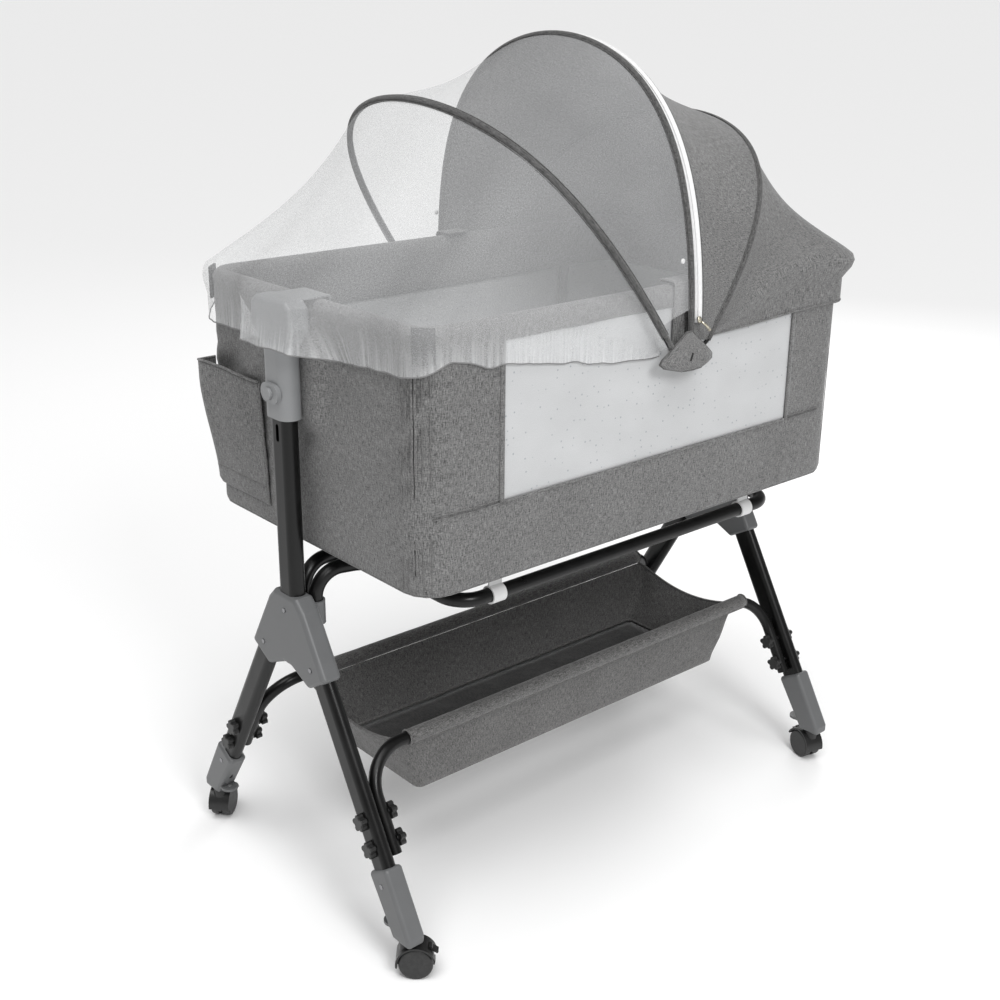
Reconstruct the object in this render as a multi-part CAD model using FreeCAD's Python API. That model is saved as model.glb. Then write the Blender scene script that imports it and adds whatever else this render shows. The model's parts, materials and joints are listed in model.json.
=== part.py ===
import FreeCAD, Part
import math
import os

from FreeCAD import Placement, Rotation, Vector

# Bassinet on a rolling stand, in millimetres.
# X runs along the bassinet, Y across it, Z is up.
# The origin is on the floor, under the middle of the stand.

# ---------------------------------------------------------------- stand
UPRIGHT_X = 434.0
UPRIGHT_WIDE = 42.0
UPRIGHT_DEEP = 24.0
UPRIGHT_FOOT_Z = 432.0
UPRIGHT_TOP_Z = 872.0
UPRIGHT_WALL = 1.5
SLOT_TALL = 24.0
SLOT_WIDE = 7.0
SLOT_PITCH = 50.0
SLOT_FIRST_Z = 705.0
SLOT_COUNT = 4

LEG_ANGLE = 29.9
LEG_APEX_Z = 488.0
LEG_WIDE = 38.0
LEG_DEEP = 20.0
LEG_WALL = 1.5
LEG_START = 84.0
LEG_END = 452.0

HUB_TOP_Z = 478.0
HUB_DEEP = 31.0
HUB_SLEEVE_END = 141.0
HUB_SLEEVE_HALF = 24.0
HUB_TOP_HALF = 26.0
HUB_SHOULDER = 15.0
HUB_CROTCH_Z = 372.0
FIT_GAP = 0.2

FOOT_Y = 245.0
FOOT_SLEEVE_START = 398.0
FOOT_BOTTOM_Z = 54.0
FOOT_HALF = 22.0
FOOT_DEEP = 29.0
FOOT_EAR_R = 13.0
FOOT_EAR_THICK = 4.0

SUPPORT_RAIL_R = 10.0
SUPPORT_RAIL_Z = 496.0
SUPPORT_RAIL_Y = 209.0
SUPPORT_RAIL_TURN_X = 322.0
SUPPORT_RAIL_BEND = 38.0
RAIL_END_X = 408.0
RAIL_END_Y = 15.0
RAIL_BOSS_R = 13.0
RAIL_BOSS_TALL = 34.0
RAIL_BOSS_Z = 430.0
BASKET_RAIL_R = 9.0
RAIL_WALL = 1.2
BASKET_RAIL_Z = 272.0
BASKET_RAIL_X = 412.0
BASKET_RAIL_END = 388.0
BASKET_RAIL_BEND = 60.0
BOLT_STATIONS = (331.0, 369.0)
BOLT_R = 3.0
KNOB_R = 12.0
KNOB_THICK = 9.0
KNOB_LOBES = 5
STRAP_X = (-253.0, 247.0)
STRAP_WIDE = 22.0

BASKET_MID_X = 16.0
BASKET_TOP = (360.0, 115.0, 266.0)
BASKET_BOTTOM = (321.0, 103.0, 161.0)
BASKET_CORNER = 14.0
BASKET_CLOTH = 2.5
BASKET_BOARD_THICK = 3.0

# ---------------------------------------------------------------- castors
CASTOR_TRAIL = 12.0
WHEEL_R = 23.5
WHEEL_WIDE = 12.0
WEB_HALF = 3.0
AXLE_R = 3.0
STEM_R = 4.0
STEM_TOP_Z = 78.0
RUNNING = 0.05
FENDER_IN = 25.0
FENDER_OUT = 27.5
FENDER_HALF = 16.5
LEVER_WIDE = 11.0
CASTOR_HEADING = {
    "near_front": -41.0,
    "near_back": 41.0,
    "far_front": 75.0,
    "far_back": -75.0,
}

# ---------------------------------------------------------------- tub
TUB_BOTTOM = (401.0, 248.0, 537.0)
TUB_TOP = (403.0, 252.0, 878.0)
TUB_CORNER = 44.0
TUB_CLOTH = 3.0
TUB_BOARD_THICK = 6.0
MATTRESS_THICK = 40.0
RIM_R = 8.0
RIM_X = 390.0
RIM_Y = 238.0
RIM_Z = 866.0
WINDOW_HALF = 277.0
WINDOW_LOW_Z = 645.0
WINDOW_HIGH_Z = 850.0

HEAD_WIDE = 54.0
HEAD_DEEP = 33.0
HEAD_BOTTOM_Z = 725.0
HEAD_FLARE_Z = 830.0
HEAD_TOP_Z = 882.0
HEAD_TOP_HALF = 48.0
BUTTON_Z = 760.0
BUTTON_R = 8.0
BUTTON_TRAVEL = 4.0

# ---------------------------------------------------------------- canopy
PIVOT = (38.0, 785.0)
HOOP_R = 2.8
HOOP_EYE_R = 7.0
HOOP_EYE_HALF = 3.1
HOOP_PIN_R = 2.5
# name: (foot x, foot z, apex x, apex z, half width)
HOOPS = {
    "hoop_rear": (80.0, 798.0, 297.0, 1072.0, 263.0),
    "hoop_main": (38.0, 806.0, 30.0, 1187.0, 269.5),
    "hoop_net": (-4.0, 798.0, -232.0, 1112.0, 276.0),
}
HOOP_FULLNESS = 0.25
PIN_HEAD_Y = 281.0
CLOTH = 1.5
CLOTH_LIFT = 4.5

CORNERS = {
    "near_front": (-1, -1),
    "near_back": (-1, 1),
    "far_front": (1, -1),
    "far_back": (1, 1),
}
ENDS = {"near": -1, "far": 1}
SIDES = {"front": -1, "back": 1}


# ---------------------------------------------------------------- helpers
def flat_oval(wide, deep, length):
    """Solid flat-oval bar along +Z from the origin, wide along Y and deep along X."""
    radius = deep / 2
    flat = wide / 2 - radius
    corners = (
        Vector(-radius, -flat, 0),
        Vector(-radius, flat, 0),
        Vector(radius, flat, 0),
        Vector(radius, -flat, 0),
    )
    edges = [
        Part.LineSegment(corners[0], corners[1]).toShape(),
        Part.Arc(corners[1], Vector(0, flat + radius, 0), corners[2]).toShape(),
        Part.LineSegment(corners[2], corners[3]).toShape(),
        Part.Arc(corners[3], Vector(0, -flat - radius, 0), corners[0]).toShape(),
    ]
    return Part.Face(Part.Wire(edges)).extrude(Vector(0, 0, length))


def flat_oval_tube(wide, deep, wall, length):
    outer = flat_oval(wide, deep, length)
    return outer.cut(flat_oval(wide - 2 * wall, deep - 2 * wall, length))


def along_leg(shape, end, side, start):
    """Carry a shape built along +Z to a leg, start mm from the apex, pointing to the floor."""
    turn = Rotation(Vector(1, 0, 0), 180 + side * LEG_ANGLE)
    moved = shape.copy()
    moved.Placement = Placement(leg_point(end, side, start), turn)
    return moved


def leg_point(end, side, along, offset_x=0.0):
    angle = math.radians(LEG_ANGLE)
    y = side * along * math.sin(angle)
    z = LEG_APEX_Z - along * math.cos(angle)
    return Vector(end * UPRIGHT_X + offset_x, y, z)


def rounded_rectangle(half_x, half_y, radius, z):
    inner_x = half_x - radius
    inner_y = half_y - radius
    edges = []
    for quarter in range(4):
        sign_x = (1, -1, -1, 1)[quarter]
        sign_y = (1, 1, -1, -1)[quarter]
        centre = Vector(sign_x * inner_x, sign_y * inner_y, z)
        first = quarter * math.pi / 2
        points = []
        for part in range(3):
            angle = first + part * math.pi / 4
            points.append(centre + Vector(radius * math.cos(angle), radius * math.sin(angle), 0))
        edges.append(points)
    wires = []
    for quarter, points in enumerate(edges):
        wires.append(Part.Arc(points[0], points[1], points[2]).toShape())
        following = edges[(quarter + 1) % 4]
        wires.append(Part.LineSegment(points[2], following[0]).toShape())
    return Part.Wire(wires)


def tray(top, bottom, corner, wall, floor):
    """Open lofted tray: top and bottom are (half x, half y, z) of its outside."""
    outer = Part.makeLoft([
        rounded_rectangle(bottom[0], bottom[1], corner, bottom[2]),
        rounded_rectangle(top[0], top[1], corner, top[2]),
    ], True, True)
    slope = (top[2] - bottom[2])
    lean_x = (top[0] - bottom[0]) / slope
    lean_y = (top[1] - bottom[1]) / slope
    low = floor
    high = slope + 1.0
    inner = Part.makeLoft([
        rounded_rectangle(bottom[0] + lean_x * low - wall, bottom[1] + lean_y * low - wall,
                          corner - wall, bottom[2] + low),
        rounded_rectangle(bottom[0] + lean_x * high - wall, bottom[1] + lean_y * high - wall,
                          corner - wall, bottom[2] + high),
    ], True, True)
    return outer.cut(inner)


def bent_path(points, radius):
    """Straight runs joined by tangent arcs of one radius."""
    edges = []
    start = points[0]
    for index in range(1, len(points) - 1):
        before, here, after = points[index - 1], points[index], points[index + 1]
        to_before = (before - here).normalize()
        to_after = (after - here).normalize()
        half_turn = to_before.getAngle(to_after) / 2
        setback = radius / math.tan(half_turn)
        middle = (to_before + to_after).normalize()
        centre = here + middle * (radius / math.sin(half_turn))
        enter = here + to_before * setback
        leave = here + to_after * setback
        edges.append(Part.LineSegment(start, enter).toShape())
        edges.append(Part.Arc(enter, centre - middle * radius, leave).toShape())
        start = leave
    edges.append(Part.LineSegment(start, points[-1]).toShape())
    return Part.Wire(edges)


def swept(path, radius):
    first = path.Edges[0]
    start = first.valueAt(first.FirstParameter)
    tangent = first.tangentAt(first.FirstParameter)
    ring = Part.Wire(Part.makeCircle(radius, start, tangent))
    return path.makePipeShell([ring], True, False)


def bent_tube(points, bend, radius, wall):
    path = bent_path(points, bend)
    return swept(path, radius).cut(swept(path, radius - wall))


def box(low, high):
    size = Vector(*high) - Vector(*low)
    return Part.makeBox(size.x, size.y, size.z, Vector(*low))


def prism_x(outline, x_low, x_high):
    """Solid from a closed outline of (y, z) points, extruded along X."""
    points = [Vector(x_low, y, z) for y, z in outline]
    points.append(points[0])
    return Part.Face(Part.makePolygon(points)).extrude(Vector(x_high - x_low, 0, 0))


def rounded_prism_x(outline, x_mid, deep, corner, edge):
    """Extruded outline whose corners and rims are rounded."""
    body = prism_x(outline, x_mid - deep / 2, x_mid + deep / 2)
    uprights = []
    for rim in body.Edges:
        ends = [vertex.Point for vertex in rim.Vertexes]
        if abs((ends[0] - ends[1]).x) > deep - 1:
            uprights.append(rim)
    body = body.makeFillet(corner, uprights)
    rims = []
    for rim in body.Edges:
        centre = rim.BoundBox
        if centre.XLength < 0.01:
            rims.append(rim)
    return body.makeFillet(edge, rims)


def cylinder_x(radius, x_low, x_high, y, z):
    return Part.makeCylinder(radius, x_high - x_low, Vector(x_low, y, z), Vector(1, 0, 0))


def cylinder_y(radius, y_low, y_high, x, z):
    return Part.makeCylinder(radius, y_high - y_low, Vector(x, y_low, z), Vector(0, 1, 0))


# ---------------------------------------------------------------- stand pieces
def upright(end):
    tube = flat_oval_tube(UPRIGHT_WIDE, UPRIGHT_DEEP, UPRIGHT_WALL, UPRIGHT_TOP_Z - UPRIGHT_FOOT_Z)
    tube.translate(Vector(end * UPRIGHT_X, 0, UPRIGHT_FOOT_Z))
    outer_face = end * (UPRIGHT_X + UPRIGHT_DEEP / 2)
    for step in range(SLOT_COUNT):
        centre = SLOT_FIRST_Z + step * SLOT_PITCH
        slot = flat_oval(SLOT_TALL, SLOT_WIDE, 6.0)
        slot.rotate(Vector(0, 0, 0), Vector(1, 0, 0), 90)
        slot.rotate(Vector(0, 0, 0), Vector(0, 0, 1), 90)
        slot.translate(Vector(outer_face - 3.0, 0, centre))
        tube = tube.cut(slot)
    return tube


def leg(end, side):
    tube = flat_oval_tube(LEG_WIDE, LEG_DEEP, LEG_WALL, LEG_END - LEG_START)
    return along_leg(tube, end, side, LEG_START)


def leg_bolt_line(end, side, station, radius, x_in, x_out):
    centre = leg_point(end, side, station)
    low, high = sorted((end * (UPRIGHT_X + x_in), end * (UPRIGHT_X + x_out)))
    return cylinder_x(radius, low, high, centre.y, centre.z)


def drilled_leg(end, side):
    tube = leg(end, side)
    for station in BOLT_STATIONS:
        tube = tube.cut(leg_bolt_line(end, side, station, BOLT_R + FIT_GAP, -15.0, 15.0))
    return tube


def hub_outline():
    angle = math.radians(LEG_ANGLE)
    end_y = HUB_SLEEVE_END * math.sin(angle)
    end_z = LEG_APEX_Z - HUB_SLEEVE_END * math.cos(angle)
    across_y = HUB_SLEEVE_HALF * math.cos(angle)
    across_z = HUB_SLEEVE_HALF * math.sin(angle)
    half = [
        (HUB_TOP_HALF, HUB_TOP_Z),
        (HUB_TOP_HALF + HUB_SHOULDER, HUB_TOP_Z - HUB_SHOULDER),
        (end_y + across_y, end_z + across_z),
        (end_y - across_y, end_z - across_z),
        (9.0, HUB_CROTCH_Z),
    ]
    other = [(-y, z) for y, z in reversed(half)]
    return half + other


def hub(end):
    x_mid = end * UPRIGHT_X
    body = rounded_prism_x(hub_outline(), x_mid, HUB_DEEP, 5.0, 7.0)
    socket = flat_oval(UPRIGHT_WIDE + 2 * FIT_GAP, UPRIGHT_DEEP + 2 * FIT_GAP, 100.0)
    socket.translate(Vector(x_mid, 0, UPRIGHT_FOOT_Z))
    body = body.cut(socket)
    for side in SIDES.values():
        hollow = flat_oval(LEG_WIDE + 2 * FIT_GAP, LEG_DEEP + 2 * FIT_GAP, 100.0)
        body = body.cut(along_leg(hollow, end, side, LEG_START))
    for side in SIDES.values():
        boss_foot = Vector(end * RAIL_END_X, side * RAIL_END_Y, RAIL_BOSS_Z)
        boss = Part.makeCylinder(RAIL_BOSS_R, RAIL_BOSS_TALL, boss_foot)
        body = body.fuse(boss)
    for side in SIDES.values():
        bore = Part.makeCylinder(SUPPORT_RAIL_R + FIT_GAP, RAIL_BOSS_TALL,
                                 Vector(end * RAIL_END_X, side * RAIL_END_Y, RAIL_BOSS_Z + 6.0))
        body = body.cut(bore)
    for hole in snap_buttons_at(end, 0.4):
        body = body.cut(hole)
    return body


def snap_buttons_at(end, extra=0.0):
    """Three sprung buttons that lock an upright and two legs in their hub."""
    angle = math.radians(LEG_ANGLE)
    places = [(0.0, 454.0, UPRIGHT_DEEP / 2)]
    for side in SIDES.values():
        station = 118.0
        y = side * station * math.sin(angle)
        z = LEG_APEX_Z - station * math.cos(angle)
        places.append((y, z, LEG_DEEP / 2))
    found = []
    for y, z, face in places:
        inside = end * (UPRIGHT_X + face + FIT_GAP)
        outside = end * (UPRIGHT_X + HUB_DEEP / 2 + 1.0 + extra)
        low, high = sorted((inside, outside))
        found.append(cylinder_x(3.2 + extra, low, high, y, z))
    return found


def foot_outline(side):
    """Foot seen along X: a sleeve round the leg that bends down to the castor."""
    angle = math.radians(LEG_ANGLE)
    start_y = FOOT_SLEEVE_START * math.sin(angle)
    start_z = LEG_APEX_Z - FOOT_SLEEVE_START * math.cos(angle)
    across_y = FOOT_HALF * math.cos(angle)
    across_z = FOOT_HALF * math.sin(angle)
    outer_y = FOOT_Y + FOOT_HALF
    bend_z = LEG_APEX_Z - (outer_y - FOOT_HALF / math.cos(angle)) / math.tan(angle)
    half = [
        (start_y + across_y, start_z + across_z),
        (outer_y, bend_z),
        (outer_y, FOOT_BOTTOM_Z),
        (FOOT_Y - 14.0, FOOT_BOTTOM_Z),
        (start_y - across_y, start_z - across_z),
    ]
    return [(side * y, z) for y, z in half]


def foot(end, side):
    x_mid = end * UPRIGHT_X
    body = rounded_prism_x(foot_outline(side), x_mid, FOOT_DEEP, 5.0, 6.0)
    ear_y = side * (FOOT_Y - FOOT_HALF - 8.0)
    ear_low = FOOT_BOTTOM_Z + 12.0
    ear = Part.makeCylinder(FOOT_EAR_R, FOOT_EAR_THICK, Vector(x_mid, ear_y, ear_low))
    bridge_low, bridge_high = sorted((ear_y, side * FOOT_Y))
    bridge = box((x_mid - FOOT_EAR_R + 1, bridge_low, ear_low),
                 (x_mid + FOOT_EAR_R - 1, bridge_high, ear_low + FOOT_EAR_THICK))
    body = body.fuse([ear, bridge])
    body = body.cut(Part.makeCylinder(3.5, FOOT_EAR_THICK + 2, Vector(x_mid, ear_y, ear_low - 1)))
    hollow = flat_oval(LEG_WIDE + 2 * FIT_GAP, LEG_DEEP + 2 * FIT_GAP, LEG_END - FOOT_SLEEVE_START + 60.0)
    body = body.cut(along_leg(hollow, end, side, FOOT_SLEEVE_START - 60.0))
    bore_depth = STEM_TOP_Z - FOOT_BOTTOM_Z + 1.0
    stem_bore = Part.makeCylinder(STEM_R + RUNNING, bore_depth + 1.0,
                                  Vector(x_mid, side * FOOT_Y, FOOT_BOTTOM_Z - 1.0))
    body = body.cut(stem_bore)
    for screw in foot_screw_at(end, side, FIT_GAP):
        body = body.cut(screw)
    return body.removeSplitter()


def foot_screw_at(end, side, extra=0.0):
    """Screw that holds a foot on its leg, with its head flush in the foot's outer face."""
    centre = leg_point(end, side, FOOT_SLEEVE_START + 22.0)
    outer = UPRIGHT_X + FOOT_DEEP / 2
    inner = UPRIGHT_X + LEG_DEEP / 2 + FIT_GAP
    low, high = sorted((end * inner, end * (outer + 0.6 + extra)))
    return [cylinder_x(3.6 + extra, low, high, centre.y, centre.z)]


def support_rail(side):
    """Tube that rises from one hub, turns across, runs along the tub and returns to the other hub."""
    half = [
        Vector(-RAIL_END_X, side * RAIL_END_Y, RAIL_BOSS_Z + 6.2),
        Vector(-RAIL_END_X, side * RAIL_END_Y, SUPPORT_RAIL_Z + 10.0),
        Vector(-SUPPORT_RAIL_TURN_X, side * 28.0, SUPPORT_RAIL_Z + 6.0),
        Vector(-SUPPORT_RAIL_TURN_X + 10.0, side * SUPPORT_RAIL_Y, SUPPORT_RAIL_Z),
    ]
    other = [Vector(-point.x, point.y, point.z) for point in reversed(half)]
    return bent_tube(half + other, SUPPORT_RAIL_BEND, SUPPORT_RAIL_R, RAIL_WALL)


def basket_rail(side):
    """Tube along the basket whose ends bend down along the legs' inner faces."""
    angle = math.radians(LEG_ANGLE)
    top_along = (LEG_APEX_Z - BASKET_RAIL_Z) / math.cos(angle)
    top_y = side * top_along * math.sin(angle)
    bottom = leg_point(-1, side, BASKET_RAIL_END)
    half = [
        Vector(-BASKET_RAIL_X, bottom.y, bottom.z),
        Vector(-BASKET_RAIL_X, top_y, BASKET_RAIL_Z),
    ]
    other = [Vector(-point.x, point.y, point.z) for point in reversed(half)]
    tube = bent_tube(half + other, BASKET_RAIL_BEND, BASKET_RAIL_R, RAIL_WALL)
    for end in ENDS.values():
        for station in BOLT_STATIONS:
            tube = tube.cut(leg_bolt_line(end, side, station, BOLT_R + FIT_GAP, -36.0, -8.0))
    return tube


def basket():
    body = tray(BASKET_TOP, BASKET_BOTTOM, BASKET_CORNER, BASKET_CLOTH, BASKET_CLOTH)
    body.translate(Vector(BASKET_MID_X, 0, 0))
    return body


def basket_board():
    half_x = BASKET_BOTTOM[0] - 12.0
    half_y = BASKET_BOTTOM[1] - 10.0
    low = BASKET_BOTTOM[2] + BASKET_CLOTH + 0.3
    board = Part.Face(rounded_rectangle(half_x, half_y, 8.0, low)).extrude(Vector(0, 0, BASKET_BOARD_THICK))
    board.translate(Vector(BASKET_MID_X, 0, 0))
    return board


def star_knob(x_face, direction, y, z):
    """Lobed hand knob that sits on the face at x_face and points along direction."""
    core = Part.makeCylinder(KNOB_R * 0.72, KNOB_THICK, Vector(x_face, y, z), Vector(direction, 0, 0))
    lobes = []
    for index in range(KNOB_LOBES):
        angle = 2 * math.pi * index / KNOB_LOBES
        reach = KNOB_R * 0.68
        place = Vector(x_face, y + reach * math.cos(angle), z + reach * math.sin(angle))
        lobes.append(Part.makeCylinder(KNOB_R * 0.34, KNOB_THICK, place, Vector(direction, 0, 0)))
    knob = core.fuse(lobes).removeSplitter()
    base = [edge for edge in knob.Edges if abs(edge.BoundBox.XMin - x_face - direction * KNOB_THICK) < 0.01
            and edge.BoundBox.XLength < 0.01]
    knob = knob.makeFillet(1.2, base)
    bore = Part.makeCylinder(BOLT_R + FIT_GAP, 6.0, Vector(x_face, y, z), Vector(direction, 0, 0))
    return knob.cut(bore)


def leg_fasteners():
    outer, inner, bolts = [], [], []
    for end, side in CORNERS.values():
        for station in BOLT_STATIONS:
            centre = leg_point(end, side, station)
            out_face = end * (UPRIGHT_X + LEG_DEEP / 2 + 0.3)
            in_face = end * (BASKET_RAIL_X - BASKET_RAIL_R - 0.3)
            outer.append(star_knob(out_face, end, centre.y, centre.z))
            inner.append(star_knob(in_face, -end, centre.y, centre.z))
            low, high = sorted((out_face + end * 5.5, in_face - end * 5.5))
            bolts.append(cylinder_x(BOLT_R, low, high, centre.y, centre.z))
    return outer, inner, bolts


def rail_straps():
    """Hook-and-loop bands round the front support rail, with a tail up to the tub's floor."""
    straps = []
    half = STRAP_WIDE / 2
    for x in STRAP_X:
        outer = cylinder_x(SUPPORT_RAIL_R + 2.6, x - half, x + half, -SUPPORT_RAIL_Y, SUPPORT_RAIL_Z)
        inner = cylinder_x(SUPPORT_RAIL_R + 0.3, x - half - 1, x + half + 1, -SUPPORT_RAIL_Y, SUPPORT_RAIL_Z)
        tail = box((x - half, -SUPPORT_RAIL_Y - 1.2, SUPPORT_RAIL_Z + SUPPORT_RAIL_R + 1.0),
                   (x + half, -SUPPORT_RAIL_Y + 1.2, TUB_BOTTOM[2] - 2.0))
        straps.append(outer.cut(inner).fuse(tail).removeSplitter())
    return straps


# ---------------------------------------------------------------- castor pieces
def place_castor(shape, name):
    end, side = CORNERS[name]
    turned = shape.copy()
    turned.rotate(Vector(0, 0, 0), Vector(0, 0, 1), CASTOR_HEADING[name])
    turned.translate(Vector(end * UPRIGHT_X, side * FOOT_Y, 0))
    return turned


def castor_hood():
    """Fender over the twin wheels with a web between them; the swivel axis is the local Z axis."""
    ring = cylinder_y(FENDER_OUT, -FENDER_HALF, FENDER_HALF, CASTOR_TRAIL, WHEEL_R)
    ring = ring.cut(cylinder_y(FENDER_IN, -FENDER_HALF - 1, FENDER_HALF + 1, CASTOR_TRAIL, WHEEL_R))
    below = box((CASTOR_TRAIL - 40, -30, -10), (CASTOR_TRAIL + 40, 30, WHEEL_R - 4))
    behind = box((CASTOR_TRAIL, -30, -10), (CASTOR_TRAIL + 40, 30, WHEEL_R + 9))
    ring = ring.cut(below).cut(behind)
    web = cylinder_y(FENDER_IN + 1.0, -WEB_HALF, WEB_HALF, CASTOR_TRAIL, WHEEL_R)
    web = web.cut(box((CASTOR_TRAIL - 40, -30, -10), (CASTOR_TRAIL + 40, 30, WHEEL_R - 8)))
    neck = Part.makeCylinder(11.0, FOOT_BOTTOM_Z - 0.5 - 40.0, Vector(0, 0, 40.0))
    neck = neck.cut(cylinder_y(FENDER_OUT - 0.5, -30, 30, CASTOR_TRAIL, WHEEL_R))
    hood = ring.fuse([web, neck])
    hood = hood.cut(cylinder_y(AXLE_R + RUNNING, -30, 30, CASTOR_TRAIL, WHEEL_R))
    hood = hood.cut(Part.makeCylinder(STEM_R, 60.0, Vector(0, 0, 46.0)))
    notch = lever_shape(0.5, hollow=True)
    hood = hood.cut(notch)
    hinge = cylinder_y(1.5, -LEVER_WIDE / 2 - 2, LEVER_WIDE / 2 + 2, lever_pivot()[0], lever_pivot()[1])
    return hood.fuse(hinge).removeSplitter()


def lever_pivot():
    angle = math.radians(46)
    reach = FENDER_OUT + 0.3
    return CASTOR_TRAIL + reach * math.cos(angle), WHEEL_R + reach * math.sin(angle)


def lever_shape(extra=0.0, hollow=False):
    """Brake lever: a barrel on the fender's back edge with a toe tab that sticks out behind."""
    x, z = lever_pivot()
    half = LEVER_WIDE / 2 + extra
    barrel = cylinder_y(3.0 + extra, -half, half, x, z)
    if hollow:
        room = box((x, -half, z - 16), (x + 14, half, z + 8))
        return barrel.fuse(room)
    tab = box((x, -half, z - 1.3), (x + 12, half, z + 1.3))
    tab.rotate(Vector(x, 0, z), Vector(0, 1, 0), 32)
    lever = barrel.fuse(tab)
    return lever.cut(cylinder_y(1.5 + RUNNING, -half - 1, half + 1, x, z)).removeSplitter()


def castor_wheels():
    """Two wheels on one axle."""
    axle = cylinder_y(AXLE_R, -WEB_HALF - 1, WEB_HALF + 1, CASTOR_TRAIL, WHEEL_R)
    pair = axle
    for side in SIDES.values():
        low = WEB_HALF + 0.5
        start, stop = sorted((side * low, side * (low + WHEEL_WIDE)))
        wheel = cylinder_y(WHEEL_R, start, stop, CASTOR_TRAIL, WHEEL_R)
        outer = [edge for edge in wheel.Edges if abs(abs(edge.BoundBox.YMin) - low - WHEEL_WIDE) < 0.01
                 and edge.BoundBox.YLength < 0.01]
        wheel = wheel.makeFillet(3.0, outer)
        pair = pair.fuse(wheel)
    return pair.removeSplitter()


def castor_stem():
    return Part.makeCylinder(STEM_R, STEM_TOP_Z - 46.0, Vector(0, 0, 46.0))


# ---------------------------------------------------------------- tub pieces
def tub_walls():
    return tray(TUB_TOP, TUB_BOTTOM, TUB_CORNER, TUB_CLOTH, TUB_CLOTH)


def window_box(side):
    low, high = sorted((side * 200.0, side * 300.0))
    return box((-WINDOW_HALF, low, WINDOW_LOW_Z), (WINDOW_HALF, high, WINDOW_HIGH_Z))


def tub_shell():
    shell = tub_walls()
    for side in SIDES.values():
        shell = shell.cut(window_box(side))
    return shell


def window(side):
    return tub_walls().common(window_box(side))


def tub_board():
    low = TUB_BOTTOM[2] + TUB_CLOTH + 0.3
    face = Part.Face(rounded_rectangle(TUB_BOTTOM[0] - 6, TUB_BOTTOM[1] - 6, TUB_CORNER - 6, low))
    return face.extrude(Vector(0, 0, TUB_BOARD_THICK))


def mattress():
    low = TUB_BOTTOM[2] + TUB_CLOTH + TUB_BOARD_THICK + 0.6
    face = Part.Face(rounded_rectangle(TUB_BOTTOM[0] - 8, TUB_BOTTOM[1] - 8, TUB_CORNER - 8, low))
    return face.extrude(Vector(0, 0, MATTRESS_THICK))


def top_frame():
    path = rounded_rectangle(RIM_X, RIM_Y, TUB_CORNER - 10, RIM_Z)
    return swept(path, RIM_R).cut(swept(path, RIM_R - RAIL_WALL))


def head(end):
    """Sleeve that slides on the upright, with a wide top that hooks over the rim."""
    x_mid = end * UPRIGHT_X
    sleeve = flat_oval(HEAD_WIDE, HEAD_DEEP, HEAD_FLARE_Z - HEAD_BOTTOM_Z)
    sleeve.translate(Vector(x_mid, 0, HEAD_BOTTOM_Z))
    half = HEAD_WIDE / 2
    outline = [
        (half - 5, HEAD_FLARE_Z - 14.0),
        (HEAD_TOP_HALF, HEAD_FLARE_Z + 16.0),
        (HEAD_TOP_HALF - 4, HEAD_TOP_Z - 8.0),
        (HEAD_TOP_HALF - 14, HEAD_TOP_Z),
    ]
    outline += [(-y, z) for y, z in reversed(outline)]
    crown = rounded_prism_x(outline, x_mid, HEAD_DEEP, 5.0, 7.0)
    inner_x = TUB_TOP[0] - 24.0
    low, high = sorted((end * inner_x, x_mid))
    lid = box((low, -30, TUB_TOP[2] + 1.2), (high, 30, HEAD_TOP_Z - 1.0))
    lip_low, lip_high = sorted((end * inner_x, end * (inner_x - 3.0)))
    lip = box((lip_low, -30, 846.0), (lip_high, 30, HEAD_TOP_Z - 1.0))
    plate = flat_oval(40.0, 26.0, 6.0)
    plate.rotate(Vector(0, 0, 0), Vector(0, 1, 0), 90 * end)
    plate.translate(Vector(end * (UPRIGHT_X + HEAD_DEEP / 2 - 1.0), 0, BUTTON_Z))
    body = sleeve.fuse([crown, lid, lip, plate])
    hollow = flat_oval(UPRIGHT_WIDE + 0.6, UPRIGHT_DEEP + 0.6, UPRIGHT_TOP_Z + 2.0 - HEAD_BOTTOM_Z + 1.0)
    hollow.translate(Vector(x_mid, 0, HEAD_BOTTOM_Z - 1.0))
    body = body.cut(hollow)
    start, stop = sorted((end * (UPRIGHT_X + UPRIGHT_DEEP / 2), end * (UPRIGHT_X + HEAD_DEEP / 2 + 10)))
    body = body.cut(cylinder_x(BUTTON_R + 0.4, start, stop, 0, BUTTON_Z))
    return body.removeSplitter()


def head_bracket(end):
    """Black plate between a head and the tub's end wall."""
    low, high = sorted((end * (TUB_TOP[0] + 1.0), end * (UPRIGHT_X - HEAD_DEEP / 2 - 0.3)))
    plate = box((low, -33, 730), (high, 33, 845))
    return plate.makeFillet(5.0, [edge for edge in plate.Edges if edge.BoundBox.XLength > high - low - 0.1])


def head_button(end):
    face = UPRIGHT_X + HEAD_DEEP / 2 + 5.0
    start, stop = sorted((end * (UPRIGHT_X + UPRIGHT_DEEP / 2 + 1.0 + BUTTON_TRAVEL), end * (face + 4.5)))
    button = cylinder_x(BUTTON_R, start, stop, 0, BUTTON_Z)
    outer = [edge for edge in button.Edges if edge.BoundBox.XLength < 0.01
             and abs(edge.BoundBox.XMin - end * (face + 4.5)) < 0.01]
    return button.makeFillet(1.5, outer)


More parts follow.
